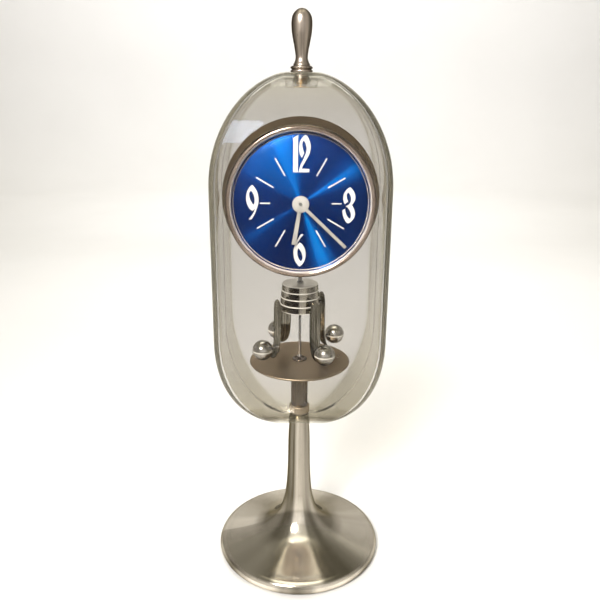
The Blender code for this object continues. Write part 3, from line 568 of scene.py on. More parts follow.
def plate(name, outlines, low, high, material, matrix=AXIS_UP, bevel=0, segments=2):
    """A flat solid between two heights; the first outline is its edge, the rest are holes."""
    curve = bpy.data.curves.new(name, "CURVE")
    curve.dimensions = "2D"
    curve.fill_mode = "BOTH"
    curve.extrude = (high - low) / 2 * MM
    for outline in outlines:
        spline = curve.splines.new("POLY")
        spline.points.add(len(outline) - 1)
        for point, (x, y) in zip(spline.points, outline):
            point.co = (x * MM, y * MM, 0, 1)
        spline.use_cyclic_u = True
    holder = bpy.data.objects.new(name, curve)
    bpy.context.scene.collection.objects.link(holder)
    mesh = evaluated_mesh(holder)
    bpy.data.objects.remove(holder, do_unlink=True)
    work = bmesh.new()
    work.from_mesh(mesh)
    bmesh.ops.remove_doubles(work, verts=work.verts, dist=1e-7)
    bmesh.ops.dissolve_limit(work, angle_limit=math.radians(0.5), verts=work.verts, edges=work.edges,
        delimit={"NORMAL"})
    bmesh.ops.recalc_face_normals(work, faces=work.faces)
    if bevel:
        rims = [e for e in work.edges if e.is_manifold and e.calc_face_angle() > 1.2
            and abs(e.verts[0].co.z - e.verts[1].co.z) < 1e-9]
        bmesh.ops.bevel(work, geom=rims, offset=bevel * MM, segments=segments, profile=0.5,
            affect="EDGES", clamp_overlap=True)
    bmesh.ops.translate(work, verts=work.verts, vec=(0, 0, (low + high) / 2 * MM))
    work.to_mesh(mesh)
    work.free()
    mesh.name = name
    mesh.transform(matrix)
    return finished(name, mesh, material)


def join(name, pieces):
    """One object from several that are fixed together; materials are kept per face."""
    mesh = bpy.data.meshes.new(name)
    work = bmesh.new()
    materials = []
    for piece in pieces:
        start = len(work.faces)
        work.from_mesh(piece.data)
        material = piece.data.materials[0]
        if material not in materials:
            materials.append(material)
        work.faces.ensure_lookup_table()
        for face in work.faces[start:]:
            face.material_index = materials.index(material)
        bpy.data.objects.remove(piece, do_unlink=True)
    work.to_mesh(mesh)
    work.free()
    for material in materials:
        mesh.materials.append(material)
    return linked(name, mesh)


def cut(piece, cutters):
    """Take the cutters' forms out of a piece and apply the result."""
    for cutter in cutters:
        modifier = piece.modifiers.new("Cut", "BOOLEAN")
        modifier.operation = "DIFFERENCE"
        modifier.solver = "EXACT"
        modifier.object = cutter
    mesh = evaluated_mesh(piece)
    material = piece.data.materials[0]
    name = piece.name
    bpy.data.objects.remove(piece, do_unlink=True)
    for cutter in cutters:
        bpy.data.objects.remove(cutter, do_unlink=True)
    return finished(name, mesh, material, 30)


def settle(piece, body, slot, *nodes):
    """Fix a finished piece to its body and hide the nodes it stands for; slot, the finish it is given, is
    not used.
    """
    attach(piece, body)
    if nodes:
        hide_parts(*nodes)
    return piece


def bevelled_box(name, low, high, material, radius):
    work = bmesh.new()
    bmesh.ops.create_cube(work, size=1)
    size = [(b - a) * MM for a, b in zip(low, high)]
    where = [(a + b) / 2 * MM for a, b in zip(low, high)]
    work.transform(Matrix.Translation(where) @ Matrix.Diagonal((*size, 1)))
    bmesh.ops.bevel(work, geom=work.edges[:], offset=radius * MM, segments=3, profile=0.5, affect="EDGES",
        clamp_overlap=True)
    return from_bmesh(name, work, material)


def node_at(node):
    """A node's place on the dial's plane, in millimetres."""
    spot = middle(node) / MM
    return spot.x, spot.z - DIAL_HEIGHT / MM


def above(node, points):
    """Profile heights counted from a node's underside."""
    floor = lowest(node)
    return [(r, floor + h) for r, h in points]


def turned(name, node, profile, material, slot, body="stand", **how):
    """A turned piece whose heights are counted from the underside of its node."""
    settle(lathe(name, above(node, profile), material, **how), body, slot, node)


# ---- pedestal and post

def pedestal():
    outside = curve_through([(7, 104.7), (7.8, 88.5), (8.2, 66.5), (9, 51.5), (10.4, 40.5), (13, 30.5),
        (17.6, 23.1), (25, 17.1), (35, 12.9), (45, 10.1), (50.5, 8.85), (53.2, 8.45), (55.8, 7.9),
        (58, 6.5), (59.2, 4.6), (59.5, 3.1), (59.1, 1.4), (58.2, 0)])
    hollow = [(55, 0), (54.2, 1.2), (52.5, 4.5), (25, 12.7), (14, 19.5), (9.5, 22.5), (3, 22.5),
        (3, 105.1), (6.6, 105.1)]
    turned("pedestal", "base_pedestal", outside + hollow, PEDESTAL, "polished_nickel")
    pad = [(0, 1.2), (55.9, 1.2), (56.3, 1), (56.4, 0.6), (56.3, 0.2), (56, 0), (0, 0)]
    turned("base_felt", "base_pad", pad, FELT, "felt")


def tie_rod():
    low, high = lowest("tie_rod"), highest("tie_rod")
    thread = []
    pitch, height = 0.7, low
    while height < high - pitch:
        thread += [(2, height + pitch * 0.5), (1.72, height + pitch)]
        height += pitch
    profile = [(0, high), (1.7, high)] + thread[::-1] + [(1.7, low), (0, low)]
    settle(lathe("tie_rod_thread", profile, STEEL, steps=24), "stand", "steel", "tie_rod")
    washer = [(2.6, 1.5), (8.2, 1.5), (8.5, 1.2), (8.5, 0.3), (8.2, 0), (2.6, 0)]
    turned("tie_rod_washer", "rod_washer", washer, STEEL, "steel", steps=64)
    base = lowest("rod_nut")
    hexagon = ring_points(8 / math.sqrt(3), 6)
    nut = plate("tie_rod_nut", [hexagon, ring_points(2.3, 24)], base, base + 3.6, STEEL, bevel=0.25)
    settle(nut, "stand", "steel", "rod_nut")


def post_and_platform():
    collar = [(3, 6.2), (6.3, 6.2), (6.8, 5.9), (7.1, 5.4), (7.1, 1.2), (6.8, 0.9), (6.8, 0.6),
        (7.1, 0.4), (7, 0), (3, 0)]
    turned("collar_ring", "floor_collar", collar, PLATFORM, "satin_nickel")
    tall = (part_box("upper_post")[1].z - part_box("upper_post")[0].z) / MM
    tube = [(3, tall), (5.5, tall), (5.8, tall - 0.3), (5.8, 0.4), (5.5, 0), (3, 0)]
    turned("post_tube", "upper_post", tube, POST, "satin_nickel")
    rim = highest("platform_disc", "x")
    disc = [(3, 1.5), (rim - 1.5, 1.5)] + arc((rim - 0.75, 0.75), 0.75, 90, -90, 8)
    disc += [(rim - 1.5, 0), (3, 0)]
    turned("platform", "platform_disc", disc, PLATFORM, "satin_nickel", steps=160)
    crown = curve_through([(0, 8.75), (0.9, 8.66), (1.5, 8.4), (1.9, 8.32), (2.9, 8.36), (3.5, 8.75),
        (4.2, 9), (4.8, 8.85), (5.1, 8.4)])
    cup = crown + [(5.1, 8.3), (2.6, 8.3), (2.6, 0), (0, 0)]
    turned("cup", "guide_cup", cup, BEAD, "satin_nickel", steps=96)


# ---- case

CASE_WALL = 3.8
CASE_END_TOP = 343
CASE_END_BOTTOM = 105
WIDE_RISES = (72.4, 69.7)
DEEP_RISES = (63.4, 60.7)
CASE_CORNER = 6
CASE_INNER_CORNER = 2.6
SEAM_CHAMFER = 0.35


def half_at(height, half, rises, inset):
    """Half a section's width: straight in the middle, elliptical towards both ends."""
    below = CASE_END_BOTTOM + rises[0] - height
    over = height - (CASE_END_TOP - rises[1])
    share = max(below / (rises[0] - inset), over / (rises[1] - inset), 0)
    return (half - inset) * math.sqrt(max(0, 1 - share * share))


def case_levels(inset):
    """Heights for the case's sections, close together where it curves most."""
    low, high = lowest("rear_shell") + inset, highest("rear_shell") - inset
    bottom_mid, top_mid = CASE_END_BOTTOM + WIDE_RISES[0], CASE_END_TOP - WIDE_RISES[1]
    steps = 26
    low_stop = math.asin((bottom_mid - low) / (WIDE_RISES[0] - inset))
    high_stop = math.asin((high - top_mid) / (WIDE_RISES[1] - inset))
    levels = [bottom_mid
        - (WIDE_RISES[0] - inset) * math.sin(low_stop * (1 - i / steps)) for i in range(steps + 1)]
    levels += [bottom_mid + (top_mid - bottom_mid) * i / 8 for i in range(1, 8)]
    levels += [top_mid
        + (WIDE_RISES[1] - inset) * math.sin(high_stop * i / steps) for i in range(steps + 1)]
    return levels


def half_section(height, inset, side, seam, corner):
    """One half of a section, from the right end of the seam round to the left end."""
    wide = half_at(height, highest("rear_shell", "x"), WIDE_RISES, inset)
    deep = half_at(height, highest("rear_shell", "y"), DEEP_RISES, inset)
    chamfer = SEAM_CHAMFER if not inset else 0.12
    right = [(wide - chamfer, seam), (wide, seam + chamfer)]
    right += arc((wide - corner, deep - corner), corner, 0, 90, 8)
    points = right + [(-x, y) for x, y in reversed(right)]
    return [Vector((x, side * y, height)) * MM for x, y in points]


def case_shell(name, side):
    seam = abs(highest("front_shell", "y"))
    work = bmesh.new()
    skins = []
    for inset, corner in ((0, CASE_CORNER), (CASE_WALL, CASE_INNER_CORNER)):
        rows = [[work.verts.new(p) for p in half_section(z, inset, side, seam, corner)]
            for z in case_levels(inset)]
        for lower, upper in zip(rows, rows[1:]):
            for i in range(len(lower) - 1):
                work.faces.new([lower[i], lower[i + 1], upper[i + 1], upper[i]])
        work.faces.new(rows[0])
        work.faces.new(rows[-1])
        skins.append(rows)
    outer, inner = skins
    for end in (0, -1):
        for k in range(len(outer) - 1):
            work.faces.new([outer[k][end], outer[k + 1][end], inner[k + 1][end], inner[k][end]])
    for k in (0, -1):
        work.faces.new([outer[k][0], outer[k][-1], inner[k][-1], inner[k][0]])
    return from_bmesh(name, work, ACRYLIC)


def hole_cutter(radius, matrix, low, high):
    return lathe("hole", [(0, high), (radius, high), (radius, low), (0, low)], ACRYLIC, matrix, 48)


def case():
    """Both shells, with holes for the tie rod and finial, the key and the two screws."""
    ends = (CASE_END_BOTTOM - 45, CASE_END_TOP + 40)
    behind = (-60, -30)
    front = cut(case_shell("case_front", -1), [hole_cutter(2.6, AXIS_UP, *ends)])
    settle(front, "front_cover", "clear_acrylic", "front_shell")
    cutters = [hole_cutter(2.6, AXIS_UP, *ends), hole_cutter(7, dial_axis(*node_at("winding_arbor")),
        *behind)]
    for number in (1, 2):
        cutters.append(hole_cutter(1.9, dial_axis(*node_at(f"support_post_{number}")), *behind))
    rear = cut(case_shell("case_rear", 1), cutters)
    settle(rear, "stand", "clear_acrylic", "rear_shell")


def clamp_and_finial():
    low, high = (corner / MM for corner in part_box("clamp_block"))
    corner = 1.5
    outline = rounded(high.x - corner, high.y - corner, corner, 5)
    block = plate("clamp_plate", [outline, ring_points(5, 48)], low.z, high.z, ACRYLIC, bevel=0.5,
        segments=3)
    settle(block, "stand", "clear_acrylic", "clamp_block")
    nut = [(2.3, 4.5), (4.3, 4.5), (4.7, 4.1), (4.7, 3.2), (4.45, 3), (4.7, 2.8), (4.7, 1.6), (4.45, 1.4),
        (4.7, 1.2), (4.7, 0.5), (4.3, 0), (2.3, 0)]
    turned("clamp_insert", "clamp_nut", nut, BRASS, "brass", steps=64)
    top, foot = highest("finial_stud"), lowest("finial_stud")
    rod = [(0, top), (1.7, top), (2, top - 0.4), (2, foot + 0.4), (1.7, foot), (0, foot)]
    settle(lathe("finial_screw", rod, STEEL, steps=32), "stand", "steel", "finial_stud")
    grip = curve_through([(0, 36.2), (1.7, 36), (3.3, 35.1), (4.9, 33.5), (5.9, 31.4), (6.3, 29),
        (6.35, 26.5), (6.05, 22.5), (5.35, 18.5), (4.6, 14.8), (4.05, 11.6), (3.75, 9.2), (3.85, 7.4),
        (4.4, 5.8), (5.1, 4.6)])
    foot = [(5.2, 4.1), (5, 3.8), (5.2, 3.6), (6.2, 3.5)] + arc((6.1, 2.6), 0.75, 80, -80, 6)
    foot += [(6.2, 1.8), (5.9, 1.5), (6.1, 1.3), (6.7, 1.1), (6.9, 0.7), (6.8, 0), (2.3, 0), (2.3, 7.9),
        (0, 7.9)]
    turned("finial_knob", "finial", grip + foot, GRIP, "polished_nickel", "finial_nut", steps=96)


# ---- dial and hands

def housing_and_bezel():
    flare = curve_through([(45.3, 27.2), (45.9, 25.4), (46.9, 21), (48.4, 14), (49.4, 9.5), (50.1, 6.6)])
    back = [(50.2, 6), (50.1, 5.3), (49.8, 5), (47.5, 5), (47.5, 5.8), (49.2, 6.2), (48, 12), (46, 21),
        (45, 25.6), (36.8, 25.6), (36.8, 26.4), (43.3, 26.4), (43.3, 27.2)]
    piece = lathe("housing", flare + back, HOUSING, dial_axis(), 192)
    settle(piece, "stand", "housing_metal", "dial_housing")
    bead = [(42.2, 27.8), (42.2, 28.6)] + curve_through([(42.25, 28.7), (42.55, 30), (43.4, 30.75),
        (44.2, 30.9), (45.1, 30.5), (45.8, 29.5), (46, 28.6)], steps=4)
    bead += [(45.9, 28.1), (45.5, 27.8)]
    settle(lathe("bezel_bead", bead, BEAD, dial_axis(), 192), "stand", "polished_nickel", "bezel")


def crystal():
    rise, edge, thick, steps = 7.6, 29.2, 1, 26
    turn = [math.pi / 2 * i / steps for i in range(steps + 1)]
    outer = [(41.9 * math.sin(a), edge + rise * max(0, math.cos(a)) ** 0.5) for a in turn]
    inner = [(40.9 * math.sin(a), edge - 0.6 + (rise - thick + 0.6) * max(0, math.cos(a)) ** 0.5)
        for a in reversed(turn)]
    profile = outer + [(41.9, 28.1), (40.9, 28.1)] + inner
    piece = lathe("crystal_dome", profile, CRYSTAL, dial_axis(), 160)
    settle(piece, "stand", "crystal", "crystal")


def smooth_outline(sides):
    """An outline from smooth sides, each running on to the first point of the next."""
    outline = []
    for side, following in zip(sides, sides[1:] + sides[:1]):
        line = [*side, following[0]]
        outline += curve_through(line, steps=5)[:-1] if len(line) > 2 else side
    return outline


def turned_over(sides, width, height, stretch):
    return [[(width - x, (height - z) * stretch) for x, z in side] for side in sides]


NINE_EDGE = [[(3.9, 21.1), (5.5, 19.3), (6.8, 17), (7.4, 14.5), (7.6, 12.1), (7.4, 9.6), (6.5, 7),
    (5.5, 4.3), (4.3, 2.1)], [(3.1, 0.1)], [(1.4, 0.1), (2.6, 1.6), (4, 3.6), (5, 5.6)],
    [(5.3, 7), (4.5, 6.1)], [(3.6, 5.4), (1.8, 7.1), (0.6, 9.6), (0.1, 12.1), (0.2, 14.8), (0.8, 17.2),
    (1.8, 19), (2.8, 20.3)]]
NINE_EYE = [[(3, 17.8), (4.1, 16.3), (4.9, 14.5), (5.2, 12.5), (5.1, 10.6), (4.8, 9.6)],
    [(4.4, 9), (3.5, 10.5), (2.5, 12.3), (2, 14.5), (2.1, 16.3)]]
THREE_EDGE = [[(4.4, 21.9), (5.8, 20.6), (7, 18.8), (7.7, 16.6), (7.6, 14.5), (7, 13), (6.4, 12.1)],
    [(5.7, 11.1), (6.6, 9.9), (7.3, 8.2), (7.75, 6.3), (7.5, 4), (6.4, 2.1), (5.2, 0.8)],
    [(3.9, 0), (2.5, 0.8), (1.5, 2.3), (0.6, 4.4), (0.15, 6.6)], [(0, 7.8)], [(1.6, 8.9), (1.9, 7.5),
    (2.4, 5.8), (3.1, 4.4), (4, 3.2)], [(4.8, 2.7), (5.2, 3.7), (5.4, 5.2), (5, 6.7), (4.3, 8.1),
    (3.3, 9.5)], [(1.9, 10.4), (3.4, 11.1), (4.3, 11.9), (4.9, 13), (5.2, 14.5), (4.9, 16.3),
    (4.3, 17.7)], [(3.3, 18.9), (2.5, 17.7), (2.5, 16.2), (2.8, 14.8)], [(3.5, 13.4)],
    [(1.5, 11.6), (0.6, 13.6), (0.4, 15.6), (0.7, 17.7), (1.6, 19.4), (2.8, 20.9)]]
TWO_EDGE = [[(3.8, 21.7), (5.1, 20.6), (6.2, 18.4), (6.85, 16.2), (7, 13.7), (6.5, 11.3), (5.5, 9.1),
    (4.4, 7.2), (3.3, 5.2), (2.3, 3.4)], [(1.85, 2.1)], [(6.4, 2)], [(6.3, 0)], [(-0.2, 0), (0.35, 2),
    (1.1, 4.4), (2.3, 6.7), (3.4, 9.1), (4.2, 11.4), (4.6, 13.4), (4.3, 15.2), (3.6, 17.1)],
    [(2.7, 18.3), (2.1, 17), (2, 15.3), (2.45, 13.4)], [(3.2, 11.1)], [(1.8, 8.4), (0.65, 10.4),
    (0.15, 12.7), (0.15, 15.3), (0.65, 17.6), (1.8, 19.6), (2.8, 20.7)]]
ONE_EDGE = [[(3.2, 21.7)], [(3.2, 20.5)], [(3.1, 18)], [(3.1, 0)], [(0.2, 0)], [(0.35, 17.8)],
    [(0, 19.4), (1.4, 20.4), (2.6, 21.2)]]


def printed(name, outlines):
    """White print that stands a hair's breadth off the dial."""
    face = -lowest("dial_plate", "y")
    return plate(name, outlines, face + 0.02, face + 0.08, NUMERAL, dial_axis())


def numeral(name, sides, holes, corner):
    """A printed number whose outline's lower left is at a point from the dial's centre."""
    outlines = [[(corner[0] + x, corner[1] + z) for x, z in smooth_outline(s)] for s in [sides, *holes]]
    return printed(name, outlines)


def hour_line(name, hour, start, stop):
    """A thin line on a radius of the dial."""
    half = 0.4
    turn = math.radians(90 - 30 * hour)
    along, across = Vector((math.cos(turn), math.sin(turn))), Vector((-math.sin(turn), math.cos(turn)))
    outline = [tuple(along * r + across * w) for r, w in ((start, -half), (stop, -half), (stop, half),
        (start, half))]
    return printed(name, [outline])


def dial():
    front, back = -lowest("dial_plate", "y"), -highest("dial_plate", "y")
    disc = [(2.6, front), (42.6, front), (42.9, front - 0.15), (42.9, back), (2.6, back)]
    settle(lathe("dial_disc", disc, LACQUER, dial_axis(), 192), "stand", "dial_blue", "dial_plate")
    marks = [numeral("print_nine", NINE_EDGE, [NINE_EYE], (-33.1, -10.1)), numeral("print_three",
        THREE_EDGE, [], (25.3, -11.9)), numeral("print_one", ONE_EDGE, [], (-4.9, 18.6)),
        numeral("print_two", TWO_EDGE, [], (-1.3, 18.6))]
    six, eye = (turned_over(sides, 7.6, 21.1, 0.975) for sides in (NINE_EDGE, NINE_EYE))
    marks.append(numeral("print_six", six, [eye], (-4.25, -39.4)))
    for hour in (1, 2, 4, 5, 7, 8, 10, 11):
        marks.append(hour_line(f"print_line_{hour}", hour, 19, 30.8))
    marks.append(hour_line("print_line_3", 3, 18.8, 24.8))
    marks.append(hour_line("print_line_9", 9, 18.6, 24.7))
    settle(join("dial_print", marks), "stand", "hand_white")


def clock_hand(name, node, angle, hub, length, width, tip, hole, body):
    """A bevelled blade on a round hub; it lies where the CAD hand lies."""
    start = math.asin(width / 2 / hub)
    outline = [(length, -tip / 2), (length, tip / 2)]
    outline += [(hub * math.cos(a), hub * math.sin(a)) for a in (start + (math.tau - 2 * start) * i / 60
        for i in range(61))]
    turn = dial_axis() @ Matrix.Rotation(math.radians(90 - angle), 4, "Z")
    blade = plate(name, [outline, ring_points(hole, 32)], -highest(node, "y"), -lowest(node, "y"), HAND,
        turn, 0.12)
    settle(blade, body, "hand_white", node)


def hands():
    """Both hands, at the angles from twelve o'clock that the CAD hands have."""
    clock_hand("hand_long", "minute_hand", 133.7, 5.1, 38.3, 1.9, 2, 0.9, "minute_hand_set")
    clock_hand("hand_short", "hour_hand", 189.2, 4.4, 25.4, 2.2, 2.8, 1.55, "hour_hand_set")


# ---- pendulum

def drum():
    tiers, tall = 4, DRUM_TALL
    top, bottom = 12.1, 13.9
    step = tall / tiers
    profile = [(1.2, tall), (11.6, tall)]
    for i in range(tiers):
        high, low = tall - i * step, tall - (i + 1) * step
        start = top + (bottom - top - 0.35) * i / (tiers - 1)
        profile += [(start - 0.25, high - 0.02), (start, high - 0.3), (start + 0.25, low + 0.35),
            (start + 0.2, low + 0.12), (start - 0.1, low + 0.02)]
    profile += [(1.2, 0)]
    turned("drum_weight", "pendulum_drum", profile, DRUM, "polished_nickel", "pendulum", sharp=25)


def strip(path, widths, thick):
    """A bent strip: a side profile of (radius, height) with a half width at each point."""
    line = curve_through(path, steps=8)
    broad = curve_through([(w, 0) for w in widths], steps=8)
    across = 8
    work = bmesh.new()
    grids = []
    for face in (0.5, -0.5):
        rows = []
        for i, (r, z) in enumerate(line):
            ahead, behind = line[min(i + 1, len(line) - 1)], line[max(i - 1, 0)]
            run = Vector((ahead[0] - behind[0], ahead[1] - behind[1])).normalized()
            side = Vector((-run.y, run.x)) * thick * face
            rows.append([work.verts.new(Vector((r + side.x, w, z + side.y)) * MM)
                for w in (broad[i][0] * (2 * j / across - 1) for j in range(across + 1))])
        grids.append(rows)
    for rows in grids:
        for a, b in zip(rows, rows[1:]):
            for j in range(across):
                work.faces.new([a[j], a[j + 1], b[j + 1], b[j]])
    first, second = grids
    for j in range(across):
        for k in (0, -1):
            work.faces.new([first[k][j], first[k][j + 1], second[k][j + 1], second[k][j]])
    for k in range(len(line) - 1):
        for j in (0, -1):
            work.faces.new([first[k][j], first[k + 1][j], second[k + 1][j], second[k][j]])
    bmesh.ops.recalc_face_normals(work, faces=work.faces)
    return work


def arms():
    orbit = middle("pendulum_ball_1")
    turn = math.atan2(orbit.y, orbit.x)
    reach = math.hypot(orbit.x, orbit.y) / MM
    path = [(18, 198.5), (18, 197.6), (18, 195.8), (18, 192.5), (18, 186), (18.05, 178), (18.2, 172),
        (18.95, 165.1), (20.4, 160.6), (21.8, 158.6), (22.6, 157.9)]
    widths = [0.5, 1.9, 3.1, 3.9, 4.1, 4.05, 4, 3.7, 3, 2, 0.7]
    for number in range(1, 5):
        spin = Matrix.Rotation(turn + math.tau / 4 * (number - 1), 4, "Z")
        petal = from_bmesh("petal", strip(path, widths, 0.8), NICKEL, spin)
        tab = bevelled_box("tab", (14.2, -3, 190.8), (17.8, 3, 191.6), NICKEL, 0.2)
        tab.data.transform(spin)
        pin_axis = spin @ Matrix.Translation((0, 0, orbit.z)) @ Matrix.Rotation(math.pi / 2, 4, "Y")
        stud = lathe("stud", [(0, reach - 7.1), (1, reach - 7.1), (1, 19.6), (1.7, 19.4), (1.7, 18.9),
            (0, 18.9)], STEEL, pin_axis, 32)
        rivets = []
        for spot in (-1.8, 1.8):
            where = spin @ Matrix.Translation((16 * MM, spot * MM, 0))
            head = curve_through([(0, 192.15), (0.5, 192.05), (0.8, 191.75), (0.85, 191.55)])
            rivets.append(lathe("rivet", head + [(0, 191.55)], STEEL, where, 20))
        piece = join(f"petal_{number}", [petal, tab, stud, *rivets])
        settle(piece, "pendulum", "polished_nickel", f"pendulum_arm_{number}")


def balls():
    radius, seam = 6.85, 0.12
    half = [(radius * math.cos(math.radians(a)), radius * math.sin(math.radians(a)))
        for a in [90 - 5 * i for i in range(18)] + [1.2]]
    profile = [(max(0, r), z) for r, z in half] + [(radius - seam, 0.04), (radius - seam, -0.04)]
    profile += [(max(0, r), -z) for r, z in reversed(half)]
    profile[0] = (0, radius)
    profile[-1] = (0, -radius)
    for number in range(1, 5):
        spot = middle(f"pendulum_ball_{number}")
        piece = lathe(f"ball_{number}", profile, BALL, Matrix.Translation(spot), 96, sharp=60)
        settle(piece, "pendulum", "polished_nickel", f"pendulum_ball_{number}")


def spindle():
    hook = [(0, 63.3), (1.1, 63.3), (1.3, 63), (1.3, 59.6), (1.05, 59.3), (1.05, 58.6), (1.3, 58.3),
        (1.3, 55.4), (2, 55.1), (2.1, 54.8), (2, 54.3), (0.9, 54.3)]
    tip = [(0.9, 2.3), (1.3, 2.1), (1.5, 1.7), (1.5, 0.6), (1.2, 0.3), (0.6, 0.1), (0, 0)]
    turned("spindle", "pendulum_rod", hook + tip, STEEL, "steel", "pendulum", steps=48)


# ---- movement

# Arbors, measured on the dial's plane from its centre
BARREL_AT = (-11, -17)
INTERMEDIATE_AT = (4.5, -13)
THIRD_AT = (8.5, 11.6)
ESCAPE_AT = (0, 18.6)
ANCHOR_AT = (0, 28.1)
MINUTE_WHEEL_AT = (7.6, -4)

# Teeth as (share of the pitch, share of the height)
STRAIGHT_TOOTH = ((0, 0), (0.1, 0.04), (0.2, 0.5), (0.28, 0.88), (0.36, 1), (0.46, 1), (0.54, 0.88),
    (0.62, 0.5), (0.72, 0.04), (0.86, 0))
ESCAPE_TOOTH = ((0, 0), (0.3, 0.06), (0.58, 0.34), (0.8, 1), (0.86, 1), (0.9, 0.3), (0.97, 0))
RATCHET_TOOTH = ((0, 0), (0.45, 0.5), (0.9, 1), (0.96, 0.96))


def toothed_edge(radius, teeth, depth, shape=STRAIGHT_TOOTH):
    points = []
    for tooth in range(teeth):
        for share, rise in shape:
            turn, reach = math.tau * (tooth + share) / teeth, radius - depth * (1 - rise)
            points.append((reach * math.cos(turn), reach * math.sin(turn)))
    return points


def crossings(rim, hub, arms, arm_width):
    """Windows between a wheel's arms, with arms of one width."""
    windows = []
    for i in range(arms):
        start, stop = math.tau * i / arms, math.tau * (i + 1) / arms
        window = []
        for reach, forwards in ((rim, True), (hub, False)):
            trim = arm_width / 2 / reach
            turns = [start + trim + (stop - start - 2 * trim) * j / 10 for j in range(11)]
            for a in turns if forwards else reversed(turns):
                window.append((reach * math.cos(a), reach * math.sin(a)))
        windows.append(window)
    return windows


def wheel_piece(name, body, node, at, wheel, forward, thick, pinion, shaft, shape=STRAIGHT_TOOTH):
    """A crossed-out wheel on its arbor; pinion is (radius, leaves, front, back)."""
    radius, teeth, rim, arms = wheel
    leaf, leaves, front, back = pinion
    where = dial_axis(*at)
    face = forward + thick / 2
    windows = crossings(radius - rim, 2.6, arms, 1.1)
    boss = [(0.5, face + 0.25), (1.9, face + 0.2), (2.1, face), (2.1, forward), (0.5, forward)]
    edge = [toothed_edge(radius, teeth, 0.75, shape), *windows]
    parts = [plate("wheel", edge, forward - thick / 2, face, BRASS, where)]
    parts.append(lathe("boss", boss, BRASS, where, 32))
    pinion_edge = [toothed_edge(leaf, leaves, leaf * 0.34)]
    parts.append(plate("leaves", pinion_edge, back, front, STEEL, where))
    parts.append(lathe("shaft", shaft, STEEL, where, 24))
    settle(join(name, parts), body, "brass", node)


def shaft_profile(pivot, body, ends, shoulders):
    """A polished arbor with a groove beside each shoulder."""
    front, back = ends
    top, bottom = shoulders
    return [(0, front), (pivot * 0.7, front), (pivot, front - 0.15), (pivot, top), (body * 0.8, top),
        (body, top - 0.2), (body, top - 0.9), (body * 0.85, top - 1), (body * 0.85, top - 1.2),
        (body, top - 1.3), (body, bottom + 0.2), (body * 0.8, bottom), (pivot, bottom),
        (pivot, back + 0.15), (pivot * 0.7, back), (0, back)]


def going_train():
    ends, shoulders = (22.2, 6.3), (20.4, 8.1)
    wheel_piece("train_centre", "centre_arbor", "centre_wheel", (0, 0), (11.2, 64, 2.1, 5), 8.75, 1,
        (1.9, 10, 11.4, 9.8), shaft_profile(0.6, 1, (31.9, 6.3), shoulders))
    wheel_piece("train_intermediate", "intermediate_arbor", "intermediate_wheel", INTERMEDIATE_AT,
        (11.2, 60, 2.1, 5), 10.4, 1, (1.9, 10, 14, 11.6), shaft_profile(0.5, 0.9, ends, shoulders))
    wheel_piece("train_third", "third_arbor", "third_wheel", THIRD_AT, (8.5, 64, 1.8, 4), 13.5, 1,
        (2.8, 16, 9.9, 8.2), shaft_profile(0.5, 0.9, ends, shoulders))
    wheel_piece("train_escape", "escape_arbor", "escape_wheel", ESCAPE_AT, (6.9, 15, 2.2, 4), 17, 0.8,
        (2.1, 16, 14.4, 12.6), shaft_profile(0.5, 0.9, ends, shoulders), shape=ESCAPE_TOOTH)


def spring_barrel():
    where = dial_axis(*BARREL_AT)
    drum = [(2.9, 19.4), (11.9, 19.4), (12.4, 19), (12.4, 18.2), (12.2, 18), (12.4, 17.8), (12.4, 13.4),
        (11.7, 13.4), (11.7, 18.6), (2.9, 18.6)]
    parts = [lathe("cup", drum, BRASS, where, 96), plate("rim", [toothed_edge(13.4, 70, 0.75),
        ring_points(2.9, 32)], 12.4, 13.6, BRASS, where)]
    settle(join("barrel_drum", parts), "spring_barrel", "brass", "barrel")
    turns, steps, ribbon = 9, 40, 0.28
    inner, outer = [], []
    for i in range(turns * steps + 1):
        turn, radius = math.tau * i / steps, 3.9 + 7 * i / (turns * steps)
        inner.append((radius * math.cos(turn), radius * math.sin(turn)))
        outer.append(((radius + ribbon) * math.cos(turn), (radius + ribbon) * math.sin(turn)))
    coil = plate("spring_coil", [outer + inner[::-1]], 14.2, 18.2, STEEL, where)
    settle(coil, "spring_barrel", "steel", "mainspring")
    square = [(1.75 * math.cos(a), 1.75 * math.sin(a)) for a in (math.tau * (c + o) / 4
        for c in range(4) for o in (0.44, 0.56))]
    arbor = [(0, 22.2), (1.3, 22.2), (1.5, 22), (1.5, 20.4), (2.3, 20.4), (2.5, 20.2), (2.5, -2.8),
        (2.3, -3), (0, -3)]
    parts = [lathe("shaft", arbor, STEEL, where, 48), plate("square", [square], -12.4, -3, STEEL, where,
        0.25)]
    settle(join("winding_square", parts), "winder", "steel", "winding_arbor")
    ratchet = plate("ratchet_teeth", [toothed_edge(5.4, 16, 0.8, RATCHET_TOOTH), ring_points(2.8, 32)],
        4.5, 5.5, STEEL, where)
    settle(ratchet, "winder", "steel", "ratchet_wheel")
    tail = curve_through([(5.9, 0.5), (4.6, 0.9), (1.2, 1.9), (0, 2.3), (-1.8, 1.6), (-2.3, 0),
        (-1.8, -1.6), (0, -2.3), (1.2, -1.2), (4.4, -0.2)], steps=4)
    pivot = node_at("click_screw")
    spin = dial_axis(*pivot) @ Matrix.Rotation(math.radians(-178), 4, "Z")
    click = plate("click_arm", [tail, ring_points(0.9, 24)], 4.5, 5.5, STEEL, spin, 0.12)
    settle(click, "click_lever", "steel", "click")
    settle(join("click_pin", screw_parts(0.6, 1.4, 5.7, 4.1, 3.4, dial_axis(*pivot))), "stand", "steel",
        "click_screw")


